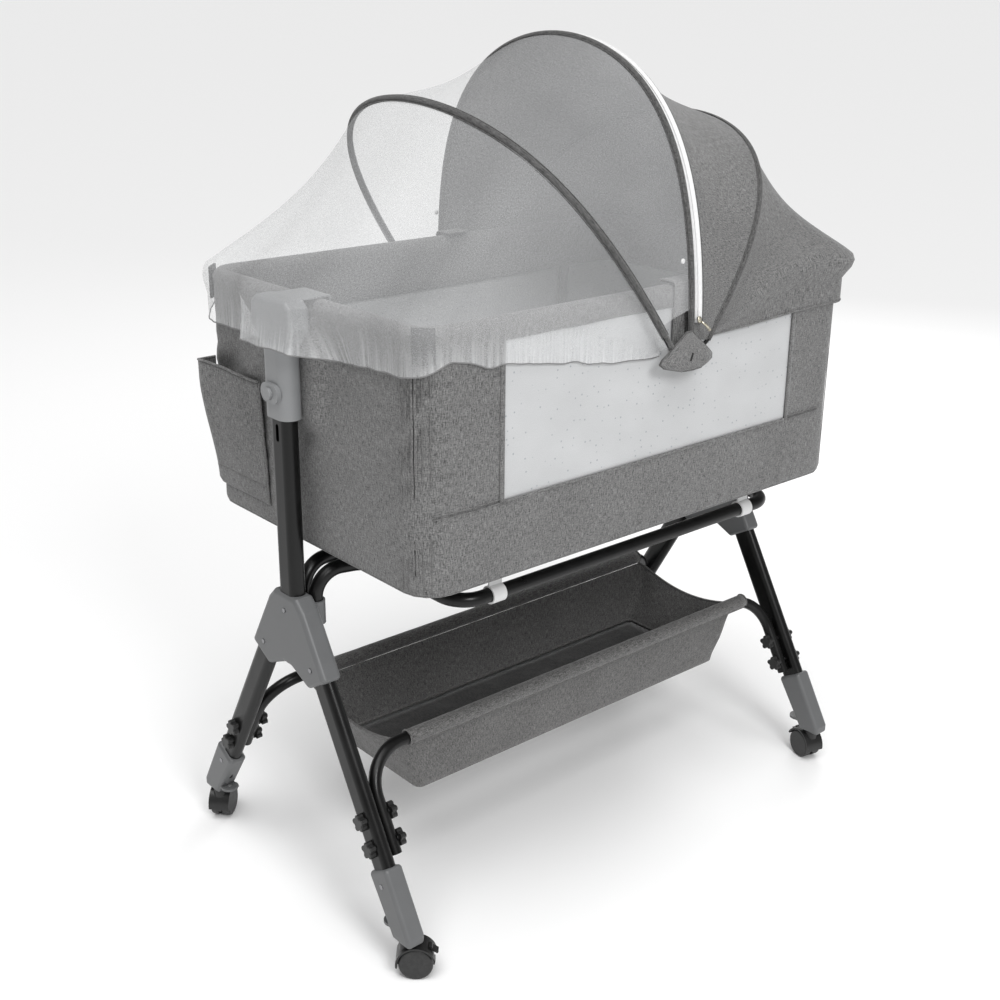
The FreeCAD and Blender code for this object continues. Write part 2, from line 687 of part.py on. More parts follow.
def end_pocket():
    """Open pocket sewn on the near end wall."""
    cloth = 1.8
    x_back = -TUB_TOP[0] - 1.0

    def section(y_low, y_high, depth, z, shrink=0.0):
        corners = [
            Vector(x_back - shrink, y_low + shrink, z),
            Vector(x_back - shrink, y_high - shrink, z),
            Vector(x_back - depth + shrink, y_high - 8 - shrink, z),
            Vector(x_back - depth + shrink, y_low + 8 + shrink, z),
        ]
        corners.append(corners[0])
        return Part.makePolygon(corners)

    outer = Part.makeLoft([section(92, 222, 9, 566), section(128, 224, 34, 756)], True, True)
    floor = section(93, 221.6, 9.4, 569, cloth)
    mouth = section(128.4, 224, 34.4, 759, cloth)
    return outer.cut(Part.makeLoft([floor, mouth], True, True))


def corner_latches():
    """Moulded grips over the rim at its four corners."""
    latches = []
    for end, side in CORNERS.values():
        reach = TUB_CORNER + 0.8
        plate = box((reach, -14, 836), (reach + 3.0, 14, 880))
        plate.rotate(Vector(0, 0, 0), Vector(0, 0, 1), math.degrees(math.atan2(side, end)))
        plate.translate(Vector(end * (TUB_TOP[0] - TUB_CORNER), side * (TUB_TOP[1] - TUB_CORNER), 0))
        latches.append(plate)
    return latches


def canopy_clips():
    """Clip on each long side with the pin that the hoops turn on."""
    clips = []
    x, z = PIVOT
    for side in SIDES.values():
        inner = TUB_TOP[1] + 0.6
        hook_out = side * (inner + 2.0)
        low, high = sorted((side * inner, hook_out))
        plate = box((x - 16, low, z - 12), (x + 16, high, TUB_TOP[2] + 3.0))
        cap_low, cap_high = sorted((hook_out, side * (RIM_Y - 14)))
        cap = box((x - 16, cap_low, TUB_TOP[2] + 1.0), (x + 16, cap_high, TUB_TOP[2] + 3.0))
        pin_low, pin_high = sorted((hook_out, side * PIN_HEAD_Y))
        pin = cylinder_y(HOOP_PIN_R, pin_low, pin_high, x, z)
        head_low, head_high = sorted((side * (PIN_HEAD_Y - 1.0), side * (PIN_HEAD_Y + 1.0)))
        pin_head = cylinder_y(5.0, head_low, head_high, x, z)
        clips.append(plate.fuse([cap, pin, pin_head]).removeSplitter())
    return clips


# ---------------------------------------------------------------- canopy pieces
def hoop_point(name, angle, lift=0.0):
    """Point on a hoop: angle 0 at its front foot, pi at its back foot, lifted outward by lift."""
    foot_x, foot_z, apex_x, apex_z, half = HOOPS[name]
    reach = math.hypot(apex_x - foot_x, apex_z - foot_z)
    rise = (reach + lift) * math.sin(angle)
    return Vector(
        foot_x + (apex_x - foot_x) / reach * rise,
        -(half + lift) * math.cos(angle) * (1 + HOOP_FULLNESS * math.sin(angle) ** 2),
        foot_z + (apex_z - foot_z) / reach * rise,
    )


def hoop(name):
    """Bent rod that ends in an eye on the pivot pin at each foot."""
    x, z = PIVOT
    half = HOOPS[name][4]
    samples = 24
    points = [Vector(x, -half, z)]
    points += [hoop_point(name, math.pi * step / samples) for step in range(samples + 1)]
    points.append(Vector(x, half, z))
    curve = Part.BSplineCurve()
    curve.interpolate(points)
    body = swept(Part.Wire(curve.toShape()), HOOP_R)
    for side in SIDES.values():
        low = side * half - HOOP_EYE_HALF
        body = body.fuse(cylinder_y(HOOP_EYE_R, low, low + 2 * HOOP_EYE_HALF, x, z))
    for side in SIDES.values():
        body = body.cut(cylinder_y(HOOP_PIN_R + RUNNING, side * half - 9, side * half + 9, x, z))
    return body


def strip_between(curve_points, inward_points):
    """Closed thin profile from an outer row and an inner row of points."""
    outer = Part.BSplineCurve()
    outer.interpolate(curve_points)
    inner = Part.BSplineCurve()
    inner.interpolate(list(reversed(inward_points)))
    return Part.Wire([
        outer.toShape(),
        Part.makeLine(curve_points[-1], inward_points[-1]),
        inner.toShape(),
        Part.makeLine(inward_points[0], curve_points[0]),
    ])


def hoop_profile(name, lift, first, last, samples=12):
    angles = [first + (last - first) * step / samples for step in range(samples + 1)]
    outer = [hoop_point(name, angle, lift + CLOTH) for angle in angles]
    inner = [hoop_point(name, angle, lift) for angle in angles]
    return strip_between(outer, inner)


def rim_point(end, angle, grow, z, x_start):
    """Point on a squared-off half loop round one end of the rim."""
    squareness = 0.36
    reach = (TUB_TOP[0] + grow - abs(x_start)) * abs(math.sin(angle)) ** squareness
    half = TUB_TOP[1] + grow
    across = -half * math.copysign(abs(math.cos(angle)) ** squareness, math.cos(angle))
    return Vector(x_start + end * reach, across, z)


def rim_profile(end, grow, z, x_start, first, last, samples=16):
    angles = [first + (last - first) * step / samples for step in range(samples + 1)]
    outer = [rim_point(end, angle, grow + CLOTH, z, x_start) for angle in angles]
    inner = [rim_point(end, angle, grow, z, x_start) for angle in angles]
    return strip_between(outer, inner)


def cloth_between(profiles):
    return Part.makeLoft(profiles, True, True)


def canopy_fabric_front():
    first = math.radians(20)
    last = math.pi - first
    return cloth_between([
        hoop_profile("hoop_main", CLOTH_LIFT, first, last),
        hoop_profile("hoop_rear", CLOTH_LIFT, first, last),
    ])


def canopy_fabric_rear():
    first = math.radians(24)
    last = math.pi - first
    start = hoop_profile("hoop_rear", CLOTH_LIFT, first, last, 16)
    moved = start.copy()
    moved.translate(Vector(3.0, 0, 0))
    return cloth_between([moved, rim_profile(1, 12.0, 892.0, 150.0, first, last)])


def insect_net():
    first = math.radians(20)
    last = math.pi - first
    upper = cloth_between([
        hoop_profile("hoop_net", CLOTH_LIFT, first, last),
        hoop_profile("hoop_main", CLOTH_LIFT, first, last),
    ])
    start = hoop_profile("hoop_net", CLOTH_LIFT, first, last, 16)
    moved = start.copy()
    moved.translate(Vector(-3.0, 0, 0))
    front = cloth_between([moved, rim_profile(-1, 14.0, 892.0, -40.0, first, last)])
    return [upper, front]


# ---------------------------------------------------------------- all nodes
def build_nodes():
    nodes = {}
    for name, end in ENDS.items():
        nodes["upright_" + name] = [upright(end)]
        nodes["hub_" + name] = [hub(end)]
        nodes["head_" + name] = [head(end)]
        nodes["head_button_" + name] = [head_button(end)]
    for name, (end, side) in CORNERS.items():
        nodes["leg_" + name] = [drilled_leg(end, side)]
        nodes["foot_" + name] = [foot(end, side)]
        nodes["castor_hood_" + name] = [place_castor(castor_hood(), name)]
        nodes["castor_wheels_" + name] = [place_castor(castor_wheels(), name)]
        nodes["castor_brake_" + name] = [place_castor(lever_shape(), name)]
        nodes["castor_stem_" + name] = [place_castor(castor_stem(), name)]
    for name, side in SIDES.items():
        nodes["support_rail_" + name] = [support_rail(side)]
        nodes["basket_rail_" + name] = [basket_rail(side)]
        nodes[name + "_window"] = [window(side)]
    nodes["head_brackets"] = [head_bracket(end) for end in ENDS.values()]
    outer, inner, bolts = leg_fasteners()
    nodes["star_knobs_outer"] = outer
    nodes["star_knobs_inner"] = inner
    nodes["knob_bolts"] = bolts
    nodes["snap_buttons"] = snap_buttons_at(-1) + snap_buttons_at(1)
    screws = []
    for end, side in CORNERS.values():
        screws += foot_screw_at(end, side)
    nodes["foot_screws"] = screws
    nodes["rail_straps"] = rail_straps()
    nodes["basket"] = [basket()]
    nodes["basket_board"] = [basket_board()]
    nodes["tub_shell"] = [tub_shell()]
    nodes["tub_board"] = [tub_board()]
    nodes["mattress"] = [mattress()]
    nodes["top_frame"] = [top_frame()]
    nodes["end_pocket"] = [end_pocket()]
    nodes["corner_latches"] = corner_latches()
    nodes["canopy_clips"] = canopy_clips()
    for name in HOOPS:
        nodes[name] = [hoop(name)]
    nodes["canopy_fabric_front"] = [canopy_fabric_front()]
    nodes["canopy_fabric_rear"] = [canopy_fabric_rear()]
    nodes["insect_net"] = insect_net()
    return nodes


def main():
    os.makedirs("parts", exist_ok=True)
    nodes = build_nodes()
    for name, solids in nodes.items():
        pieces = []
        for solid in solids:
            pieces += solid.Solids
        shape = pieces[0] if len(pieces) == 1 else Part.makeCompound(pieces)
        shape.exportStep("parts/" + name + ".step")
    print(len(nodes), "nodes")


main()
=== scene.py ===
import json
import math

import bpy
from mathutils import Matrix, Vector, noise


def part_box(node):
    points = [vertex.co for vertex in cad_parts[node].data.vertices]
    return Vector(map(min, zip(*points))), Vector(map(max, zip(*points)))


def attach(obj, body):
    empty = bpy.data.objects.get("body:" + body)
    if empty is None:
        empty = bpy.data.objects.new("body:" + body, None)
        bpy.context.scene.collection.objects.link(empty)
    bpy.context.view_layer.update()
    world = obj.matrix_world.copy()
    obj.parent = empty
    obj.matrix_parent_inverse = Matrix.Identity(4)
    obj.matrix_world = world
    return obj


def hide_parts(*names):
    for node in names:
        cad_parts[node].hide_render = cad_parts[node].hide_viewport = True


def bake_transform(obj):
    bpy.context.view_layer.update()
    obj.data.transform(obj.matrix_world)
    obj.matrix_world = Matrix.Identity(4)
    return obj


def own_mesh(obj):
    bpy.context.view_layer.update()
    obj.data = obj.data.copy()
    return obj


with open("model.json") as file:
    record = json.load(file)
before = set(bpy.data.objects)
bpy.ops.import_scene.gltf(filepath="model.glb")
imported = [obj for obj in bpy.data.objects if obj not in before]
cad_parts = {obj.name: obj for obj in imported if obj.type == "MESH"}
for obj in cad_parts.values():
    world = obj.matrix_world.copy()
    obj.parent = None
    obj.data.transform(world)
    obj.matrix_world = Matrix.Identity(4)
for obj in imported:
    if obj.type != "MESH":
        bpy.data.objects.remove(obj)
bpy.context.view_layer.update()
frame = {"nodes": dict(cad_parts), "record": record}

# Bassinet on a rolling stand. Lengths below are in millimetres and become metres when a mesh is made.
# X runs along the bassinet towards the canopy, Y across it towards the back, Z is up.
MM = 0.001
FRONT, BACK = -1, 1
NEAR, FAR = -1, 1
UP = Vector((0, 0, 1))


def box_mm(node):
    low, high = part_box(node)
    return Vector(low) / MM, Vector(high) / MM


# ---------------------------------------------------------------- sizes from the frame
TUB_LOW, TUB_HIGH = box_mm("tub_shell")
TUB_X = TUB_HIGH.x
TUB_Y = TUB_HIGH.y
TUB_Z = TUB_LOW.z
TUB_CORNER = 44.0
RIM_COVER = 5.5
RIM_TOP = box_mm("top_frame")[1].z + RIM_COVER
BOARD_TOP = box_mm("tub_board")[1].z
MATTRESS_LOW, MATTRESS_HIGH = box_mm("mattress")
BASKET_LOW, BASKET_HIGH = box_mm("basket")
BOARD_LOW, BOARD_HIGH = box_mm("basket_board")
POCKET_LOW, POCKET_HIGH = box_mm("end_pocket")

# see-through panels, and the seam that the front folds down on
WINDOW_HALF = 277.0
WINDOW_LOW = 645.0
WINDOW_HIGH = 850.0
FOLD_Z = WINDOW_LOW
FOLD_NEAR_X, FOLD_FAR_X = -387.0, 360.0

# tub cloth: band of small folds above the bottom, top of the straight wall, and its lining
LOW_BAND = 105.0
WALL_TOP = 860.0
LINING_TOP = 806.0
DOTTED_FROM_X = 300.0
CLOTH = 1.3
# offset from the wall and height above the bottom, where the cloth turns in underneath
BOTTOM_TURN = ((-11.0, 0.4), (-4.5, 1.2), (-1.2, 4.5))
# offset from the wall and height, where the cloth folds over the rim and hangs down inside
RIM_FOLD = ((0.4, 868.0), (-2.5, 874.0), (-7.5, RIM_TOP - 2), (-13.0, RIM_TOP - 1.6), (-18.5, 874.5),
            (-22.2, 868.0), (-22.6, 856.0), (-21.0, 838.0), (-18.0, 815.0), (-15.5, 800.0), (-14.0, 799.0))

# hoops: the common pivot axis, and for each hoop foot x, foot z, apex x, apex z and half width
PIVOT = Vector((38.0, 0.0, 785.0))
HOOP_FULLNESS = 0.25
HOOPS = {
    "hoop_rear": (80.0, 798.0, 297.0, 1072.0, 263.0),
    "hoop_main": (38.0, 806.0, 30.0, 1187.0, 269.5),
    "hoop_net": (-4.0, 798.0, -232.0, 1112.0, 276.0),
}
HOOP_BODY = {"hoop_rear": "rear_hoop", "hoop_main": "main_hoop", "hoop_net": "net_hoop"}
SLEEVE_R = 4.3

# how far cloth stands off where it covers a bracket, a corner latch or a head
BRACKET_COVER = 14.3
LATCH_COVER = 6.0
HEAD_COVER_HEM = 54.5
HEAD_COVER_RIM = 44.0
HEAD_HALF = 54.0
HEAD_FROM_X = 380.0
HEM_FADE = 36.0
RIM_FADE = 110.0

# hem of the net: at the pivots, at the near end of the front side, and across the end
NET_HEM_PIVOT = 787.0
NET_HEM_SIDE = 826.0
NET_HEM_END = 806.0
NET_HEM_RISE = 15.0
HEM_ROWS = 9


# ---------------------------------------------------------------- camera, light and floor, in metres
CAMERA_PLACE = Vector((-1.34068, -1.47682, 1.25110))
CAMERA_HEADING = math.radians(49.18)
CAMERA_PITCH = math.radians(20.48)
CAMERA_ROLL = math.radians(0.5)
CAMERA_LENS = 49.79
FLOOR_REACH = 250.0
# the background's brightness as a light and as the camera sees it
WORLD_LIGHT = 0.36
WORLD_SEEN = 0.8


def add_object(name, data):
    added = bpy.data.objects.new(name, data)
    bpy.context.scene.collection.objects.link(added)
    return added


def make_camera():
    camera = add_object("camera", bpy.data.cameras.new("camera"))
    camera.data.lens = CAMERA_LENS
    camera.data.sensor_width = 36.0
    turn = Matrix.Rotation(CAMERA_HEADING - math.pi / 2, 4, "Z")
    tilt = Matrix.Rotation(math.pi / 2 - CAMERA_PITCH, 4, "X")
    roll = Matrix.Rotation(CAMERA_ROLL, 4, "Z")
    camera.matrix_world = Matrix.Translation(CAMERA_PLACE) @ turn @ tilt @ roll
    bpy.context.scene.camera = camera


def area_light(name, place, aim, size, power):
    light = add_object(name, bpy.data.lights.new(name, "AREA"))
    light.data.energy = power
    light.data.size = size
    light.location = place
    light.rotation_mode = "QUATERNION"
    light.rotation_quaternion = (Vector(aim) - Vector(place)).to_track_quat("-Z", "Y")


def make_studio():
    area_light("key", (-1.0, -3.0, 2.6), (0, 0, 0.7), 1.0, 58)
    area_light("rim", (2.8, 1.6, 2.2), (0, 0, 0.8), 1.6, 26)
    overhead = add_object("overhead", bpy.data.lights.new("overhead", "SUN"))
    overhead.data.energy = 1.95
    overhead.data.angle = math.radians(45)
    overhead.rotation_euler = (math.radians(12), math.radians(-14), 0)
    world = bpy.data.worlds.new("studio")
    world.use_nodes = True
    tree = world.node_tree
    tree.nodes["Background"].inputs["Color"].default_value = (1.0, 1.0, 1.0, 1)
    seen = tree.nodes.new("ShaderNodeLightPath").outputs["Is Camera Ray"]
    strength = tree.nodes.new("ShaderNodeMapRange")
    strength.inputs["To Min"].default_value = WORLD_LIGHT
    strength.inputs["To Max"].default_value = WORLD_SEEN
    tree.links.new(seen, strength.inputs["Value"])
    tree.links.new(strength.outputs["Result"], tree.nodes["Background"].inputs["Strength"])
    bpy.context.scene.world = world
    bpy.context.scene.view_settings.view_transform = "Standard"
    corners = [(x * FLOOR_REACH, y * FLOOR_REACH, 0) for x, y in ((-1, -1), (1, -1), (1, 1), (-1, 1))]
    mesh = bpy.data.meshes.new("floor")
    mesh.from_pydata(corners, [], [(0, 1, 2, 3)])
    shader = Shader("floor")
    shader.set("Base Color", grey(0.93))
    shader.set("Roughness", 0.7)
    mesh.materials.append(shader.material)
    add_object("floor", mesh)


# ---------------------------------------------------------------- materials
class Shader:
    """Short forms for building one material's nodes."""

    def __init__(self, name):
        self.material = bpy.data.materials.new(name)
        self.material.use_nodes = True
        self.tree = self.material.node_tree
        self.surface = self.tree.nodes["Principled BSDF"]

    def add(self, kind, inputs, **settings):
        node = self.tree.nodes.new(kind)
        for key, value in settings.items():
            setattr(node, key, value)
        for key, value in inputs.items():
            if isinstance(value, bpy.types.NodeSocket):
                self.tree.links.new(value, node.inputs[key])
            else:
                node.inputs[key].default_value = value
        return node

    def set(self, socket, value):
        if isinstance(value, bpy.types.NodeSocket):
            self.tree.links.new(value, self.surface.inputs[socket])
        else:
            self.surface.inputs[socket].default_value = value

    def place(self, kind, scale):
        """Texture coordinates, UV or Object, scaled by three factors."""
        source = self.add("ShaderNodeTexCoord", {}).outputs[kind]
        return self.add("ShaderNodeMapping", {"Vector": source, "Scale": scale}).outputs["Vector"]

    def noise(self, kind, scale, detail=2.0, rough=0.5):
        inputs = {"Vector": self.place(kind, scale), "Scale": 1.0, "Detail": detail, "Roughness": rough}
        return self.add("ShaderNodeTexNoise", inputs).outputs["Fac"]

    def math(self, operation, *values):
        return self.add("ShaderNodeMath", dict(enumerate(values)), operation=operation).outputs[0]

    def total(self, start, *pairs):
        """start plus each factor times its weight."""
        for factor, weight in pairs:
            start = self.math("MULTIPLY_ADD", factor, weight, start)
        return start

    def blend(self, fac, first, second, kind="MIX"):
        inputs = {"Fac": fac, "Color1": first, "Color2": second}
        return self.add("ShaderNodeMixRGB", inputs, blend_type=kind).outputs["Color"]

    def ramp(self, fac, *stops):
        node = self.add("ShaderNodeValToRGB", {"Fac": fac})
        while len(node.color_ramp.elements) < len(stops):
            node.color_ramp.elements.new(0.5)
        for element, (position, colour) in zip(node.color_ramp.elements, stops):
            element.position = position
            element.color = colour
        return node.outputs["Color"]

    def rough(self, fac, first, last, spread=0.2):
        """Roughness that goes from first to last round the middle of a factor."""
        self.set("Roughness", self.ramp(fac, (0.5 - spread, grey(first)), (0.5 + spread, grey(last))))

    def shade(self, colour, fac, dark, spread=0.2):
        """Colour, darkened where the factor is low."""
        shades = self.ramp(fac, (0.5 - spread, grey(dark)), (0.5 + spread, grey(1.0)))
        return self.blend(1.0, colour, shades, "MULTIPLY")

    def bump(self, height, strength, distance, under=None):
        inputs = {"Height": height, "Strength": strength, "Distance": distance}
        if under:
            inputs["Normal"] = under
        normal = self.add("ShaderNodeBump", inputs).outputs["Normal"]
        self.set("Normal", normal)
        return normal


def grey(value, tint=0.0):
    """Grey of that linear brightness, warmer with a positive tint."""
    return (value * (1 + tint), value, value * (1 - tint), 1.0)


def weave_height(shader, pitch):
    """Over-and-under relief of a plain weave, from 0 to 1, with threads that pitch apart, in metres."""
    turns = 2 * math.pi / pitch
    split = shader.add("ShaderNodeSeparateXYZ", {"Vector": shader.place("UV", (turns, turns, 1))})
    across = shader.math("SINE", split.outputs["X"])
    along = shader.math("SINE", split.outputs["Y"])
    return shader.total(0.5, (shader.math("MULTIPLY", across, along), 0.5))


def linen(name, dark, light, pitch=0.0011, contrast=0.105):
    """Heathered linen-look polyester: light and dark threads both ways over a plain weave."""
    shader = Shader(name)
    warp = shader.noise("UV", (980, 105, 1), 3.0, 0.7)
    weft = shader.noise("UV", (120, 980, 1), 3.0, 0.7)
    fleck = shader.noise("UV", (520, 440, 1), 2.0)
    threads = shader.total(0.0, (warp, 0.5), (weft, 0.3), (fleck, 0.2))
    colour = shader.ramp(threads, (0.5 - contrast, dark), (0.5 + contrast, light))
    patches = shader.noise("Object", (11, 11, 11), 3.0)
    shader.set("Base Color", shader.shade(colour, patches, 0.86, 0.25))
    shader.rough(threads, 0.95, 0.8)
    shader.set("Sheen Weight", 0.22)
    shader.set("Sheen Roughness", 0.5)
    shader.set("Specular IOR Level", 0.25)
    relief = shader.total(weave_height(shader, pitch), (threads, 0.9))
    creases = shader.noise("Object", (15, 15, 12), 3.0, 0.45)
    folds = shader.bump(creases, 0.75, 0.008)
    shader.bump(relief, 0.35, 0.0004, folds)
    return shader.material


def dotted_mesh(name, base, dot, pitch):
    """Off-white knitted mesh with small dots in a staggered pattern and a fine open structure."""
    shader = Shader(name)
    uv = shader.place("UV", (1 / pitch, 1 / pitch, 1))
    cells = shader.add("ShaderNodeTexVoronoi", {"Vector": uv, "Scale": 1.0, "Randomness": 0.42})
    spot = shader.ramp(cells.outputs["Distance"], (0.10, grey(1.0)), (0.15, grey(0.0)))
    fine = shader.noise("UV", (900, 900, 1), 1.0)
    cloth = shader.ramp(fine, (0.35, (*[c * 0.9 for c in base[:3]], 1)), (0.65, base))
    clouds = shader.noise("UV", (9, 14, 1), 3.0)
    shader.set("Base Color", shader.blend(spot, shader.shade(cloth, clouds, 0.9), dot))
    shader.set("Roughness", 0.85)
    shader.set("Sheen Weight", 0.15)
    shader.bump(shader.math("ADD", weave_height(shader, 0.0013), fine), 0.25, 0.0003)
    return shader.material


def netting(name, cover, gathered=False):
    """Fine white insect net. Where it is gathered, near UV height 0, it closes up into fine pleats."""
    shader = Shader(name)
    threads = shader.noise("UV", (620, 620, 1), 1.0)
    veil = shader.noise("UV", (7, 7, 1), 2.0)
    alpha = shader.total(cover - 0.16, (threads, 0.22), (veil, 0.10))
    if gathered:
        rise = shader.add("ShaderNodeSeparateXYZ", {"Vector": shader.place("UV", (1, 1, 1))}).outputs["Y"]
        near_hem = shader.ramp(rise, (0.0, grey(0.7)), (0.014, grey(0.32)), (0.05, grey(0.0)))
        pleats = shader.noise("UV", (210, 9, 1), 3.0, 0.6)
        folds = shader.ramp(pleats, (0.38, grey(0.0)), (0.66, grey(0.4)))
        alpha = shader.total(alpha, (near_hem, folds))
    shader.set("Alpha", alpha)
    shader.set("Base Color", grey(0.80, -0.01))
    shader.set("Roughness", 0.8)
    shader.set("Sheen Weight", 0.2)
    shader.bump(threads, 0.2, 0.0002)
    return shader.material


def moulded(name, colour, rough, grain=0.08):
    """Moulded plastic with a fine spark-eroded grain."""
    shader = Shader(name)
    texture = shader.noise("Object", (1400, 1400, 1400), 2.0)
    cloud = shader.noise("Object", (25, 25, 25), 3.0)
    shader.set("Base Color", shader.shade(colour, cloud, 0.92))
    shader.set("Roughness", shader.total(rough - 0.06, (cloud, 0.12)))
    shader.bump(texture, grain, 0.0002)
    return shader.material


def coated_tube(name):
    """Satin black powder coat with a slight orange peel."""
    shader = Shader(name)
    peel = shader.noise("Object", (330, 330, 330), 2.0)
    wear = shader.noise("Object", (40, 40, 16), 4.0)
    shader.set("Base Color", shader.ramp(wear, (0.35, grey(0.0022)), (0.75, grey(0.0055))))
    shader.rough(wear, 0.27, 0.38)
    shader.set("Specular IOR Level", 0.3)
    shader.bump(peel, 0.08, 0.0003)
    return shader.material


def metal(name, colour, rough):
    shader = Shader(name)
    brushed = shader.noise("Object", (60, 900, 900), 2.0)
    shader.set("Base Color", shader.ramp(brushed, (0.3, (*[c * 0.8 for c in colour[:3]], 1)), (0.7, colour)))
    shader.set("Metallic", 1.0)
    shader.rough(brushed, rough - 0.06, rough + 0.08)
    return shader.material


def tape(name, colour):
    """Woven tape or binding: fine ribs across its length."""
    shader = Shader(name)
    ribs = shader.noise("UV", (1500, 160, 1), 2.0)
    shader.set("Base Color", shader.shade(colour, ribs, 0.8))
    shader.set("Roughness", 0.85)
    shader.set("Sheen Weight", 0.15)
    shader.bump(ribs, 0.3, 0.0003)
    return shader.material


def tread(name):
    """Castor wheel: black tyre with fine wear marks."""
    shader = Shader(name)
    scuffs = shader.noise("Object", (160, 160, 160), 4.0, 0.7)
    shader.set("Base Color", shader.ramp(scuffs, (0.4, grey(0.012)), (0.75, grey(0.035))))
    shader.rough(scuffs, 0.38, 0.6)
    shader.bump(scuffs, 0.1, 0.0003)
    return shader.material


# ---------------------------------------------------------------- mesh helpers
def smooth(value):
    value = min(max(value, 0.0), 1.0)
    return value * value * (3 - 2 * value)


def mix(first, second, share):
    return first + (second - first) * share


def ripple(x, y, seed):
    """Smooth repeatable noise from -1 to 1."""
    return noise.noise(Vector((x, y, seed)))


def new_object(name, verts, faces):
    mesh = bpy.data.meshes.new(name)
    mesh.from_pydata([vert * MM for vert in verts], [], faces)
    mesh.polygons.foreach_set("use_smooth", [True] * len(faces))
    return add_object(name, mesh)


def grid(name, rows, closed=False, keep=None, ends=False):
    """Quads through rows of points, with a UV map in metres. ends closes the first and last rows."""
    count = len(rows[0])
    columns = count if closed else count - 1
    middle = rows[len(rows) // 2]
    run = [0.0]
    for column in range(columns):
        run.append(run[-1] + (middle[(column + 1) % count] - middle[column]).length)
    rise = [0.0]
    probes = range(0, count, max(1, count // 12))
    for low, high in zip(rows, rows[1:]):
        rise.append(rise[-1] + sum((high[i] - low[i]).length for i in probes) / len(probes))
    verts = [point for row in rows for point in row]
    faces, corners = [], []
    for row in range(len(rows) - 1):
        for column in range(columns):
            if keep and not keep(row, column):
                continue
            after = (column + 1) % count
            faces.append((row * count + column, row * count + after,
                          (row + 1) * count + after, (row + 1) * count + column))
            corners += [(run[column], rise[row]), (run[column + 1], rise[row]),
                        (run[column + 1], rise[row + 1]), (run[column], rise[row + 1])]
    if ends:
        for face in (list(range(count))[::-1], [(len(rows) - 1) * count + i for i in range(count)]):
            faces.append(face)
            corners += [(verts[i].x, verts[i].y) for i in face]
    piece = new_object(name, verts, faces)
    layer = piece.data.uv_layers.new(name="UVMap")
    for loop, (u, v) in zip(layer.data, corners):
        loop.uv = (u * MM, v * MM)
    return piece


def square_to(axis):
    """Two unit vectors square to an axis and to each other."""
    side = axis.cross(UP if abs(axis.z) < 0.9 else Vector((0, 1, 0))).normalized()
    return side, axis.cross(side)


def circle(centre, side, other, radius, sides):
    turns = [2 * math.pi * step / sides for step in range(sides)]
    return [centre + (side * math.cos(turn) + other * math.sin(turn)) * radius for turn in turns]


def tube(name, points, radius, sides, loop=False):
    """Round tube along a list of points; radius may be a function of the share of the way along."""
    count = len(points)
    rings = []
    side = None
    for index, point in enumerate(points):
        before = points[index - 1] if index or loop else point
        after = points[(index + 1) % count] if index < count - 1 or loop else point
        tangent = (after - before).normalized()
        if side is None:
            side, _ = square_to(tangent)
        side = (side - tangent * side.dot(tangent)).normalized()
        size = radius(index / (count - 1)) if callable(radius) else radius
        rings.append(circle(point, side, tangent.cross(side), size, sides))
    if loop:
        rings.append(rings[0])
    return grid(name, rings, closed=True, ends=not loop)


def disc(name, centre, axis, radius, thick, sides=20):
    """Small round boss with a softened rim."""
    axis = axis.normalized()
    rows = [circle(centre + axis * thick * lift, *square_to(axis), radius * size, sides)
            for size, lift in ((1.0, 0.0), (1.0, 0.6), (0.85, 1.0), (0.4, 1.0))]
    return grid(name, rows, closed=True, ends=True)


def dress(piece, material, body=None):
    piece.data.materials.append(material)
    if body:
        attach(piece, body)
    return piece


def surface(steps_v, steps_u, point):
    """Rows of points; point takes the shares of the way up and along."""
    return [[point(v / steps_v, u / steps_u) for u in range(steps_u + 1)] for v in range(steps_v + 1)]


def panel(name, rows, material, body="tub", slot="fabric_grey", thickness=CLOTH, **form):
    """Sheet with two faces through rows of points."""
    piece = grid(name, rows, **form)
    shell = piece.modifiers.new("thickness", "SOLIDIFY")
    shell.thickness = thickness * MM
    shell.offset = 0.0
    return dress(piece, material, body)


def ribbon(name, points, normals, width, thick, material, body="tub"):
    """Flat strip along points that lies on the side that the normals point to."""
    rows = []
    count = len(points)
    for index, (point, normal) in enumerate(zip(points, normals)):
        before = points[max(index - 1, 0)]
        after = points[min(index + 1, count - 1)]
        side = (after - before).cross(normal).normalized() * width / 2
        lift = normal.normalized() * thick
        rows.append([point - side, point - side * 0.9 + lift, point + side * 0.9 + lift, point + side])
    return dress(grid(name, rows, closed=True, ends=True), material, body)


def cord(name, points, radius, material, body="tub", sides=8, loop=False):
    """Round hem, piping or seam."""
    return dress(tube(name, points, radius, sides, loop), material, body)


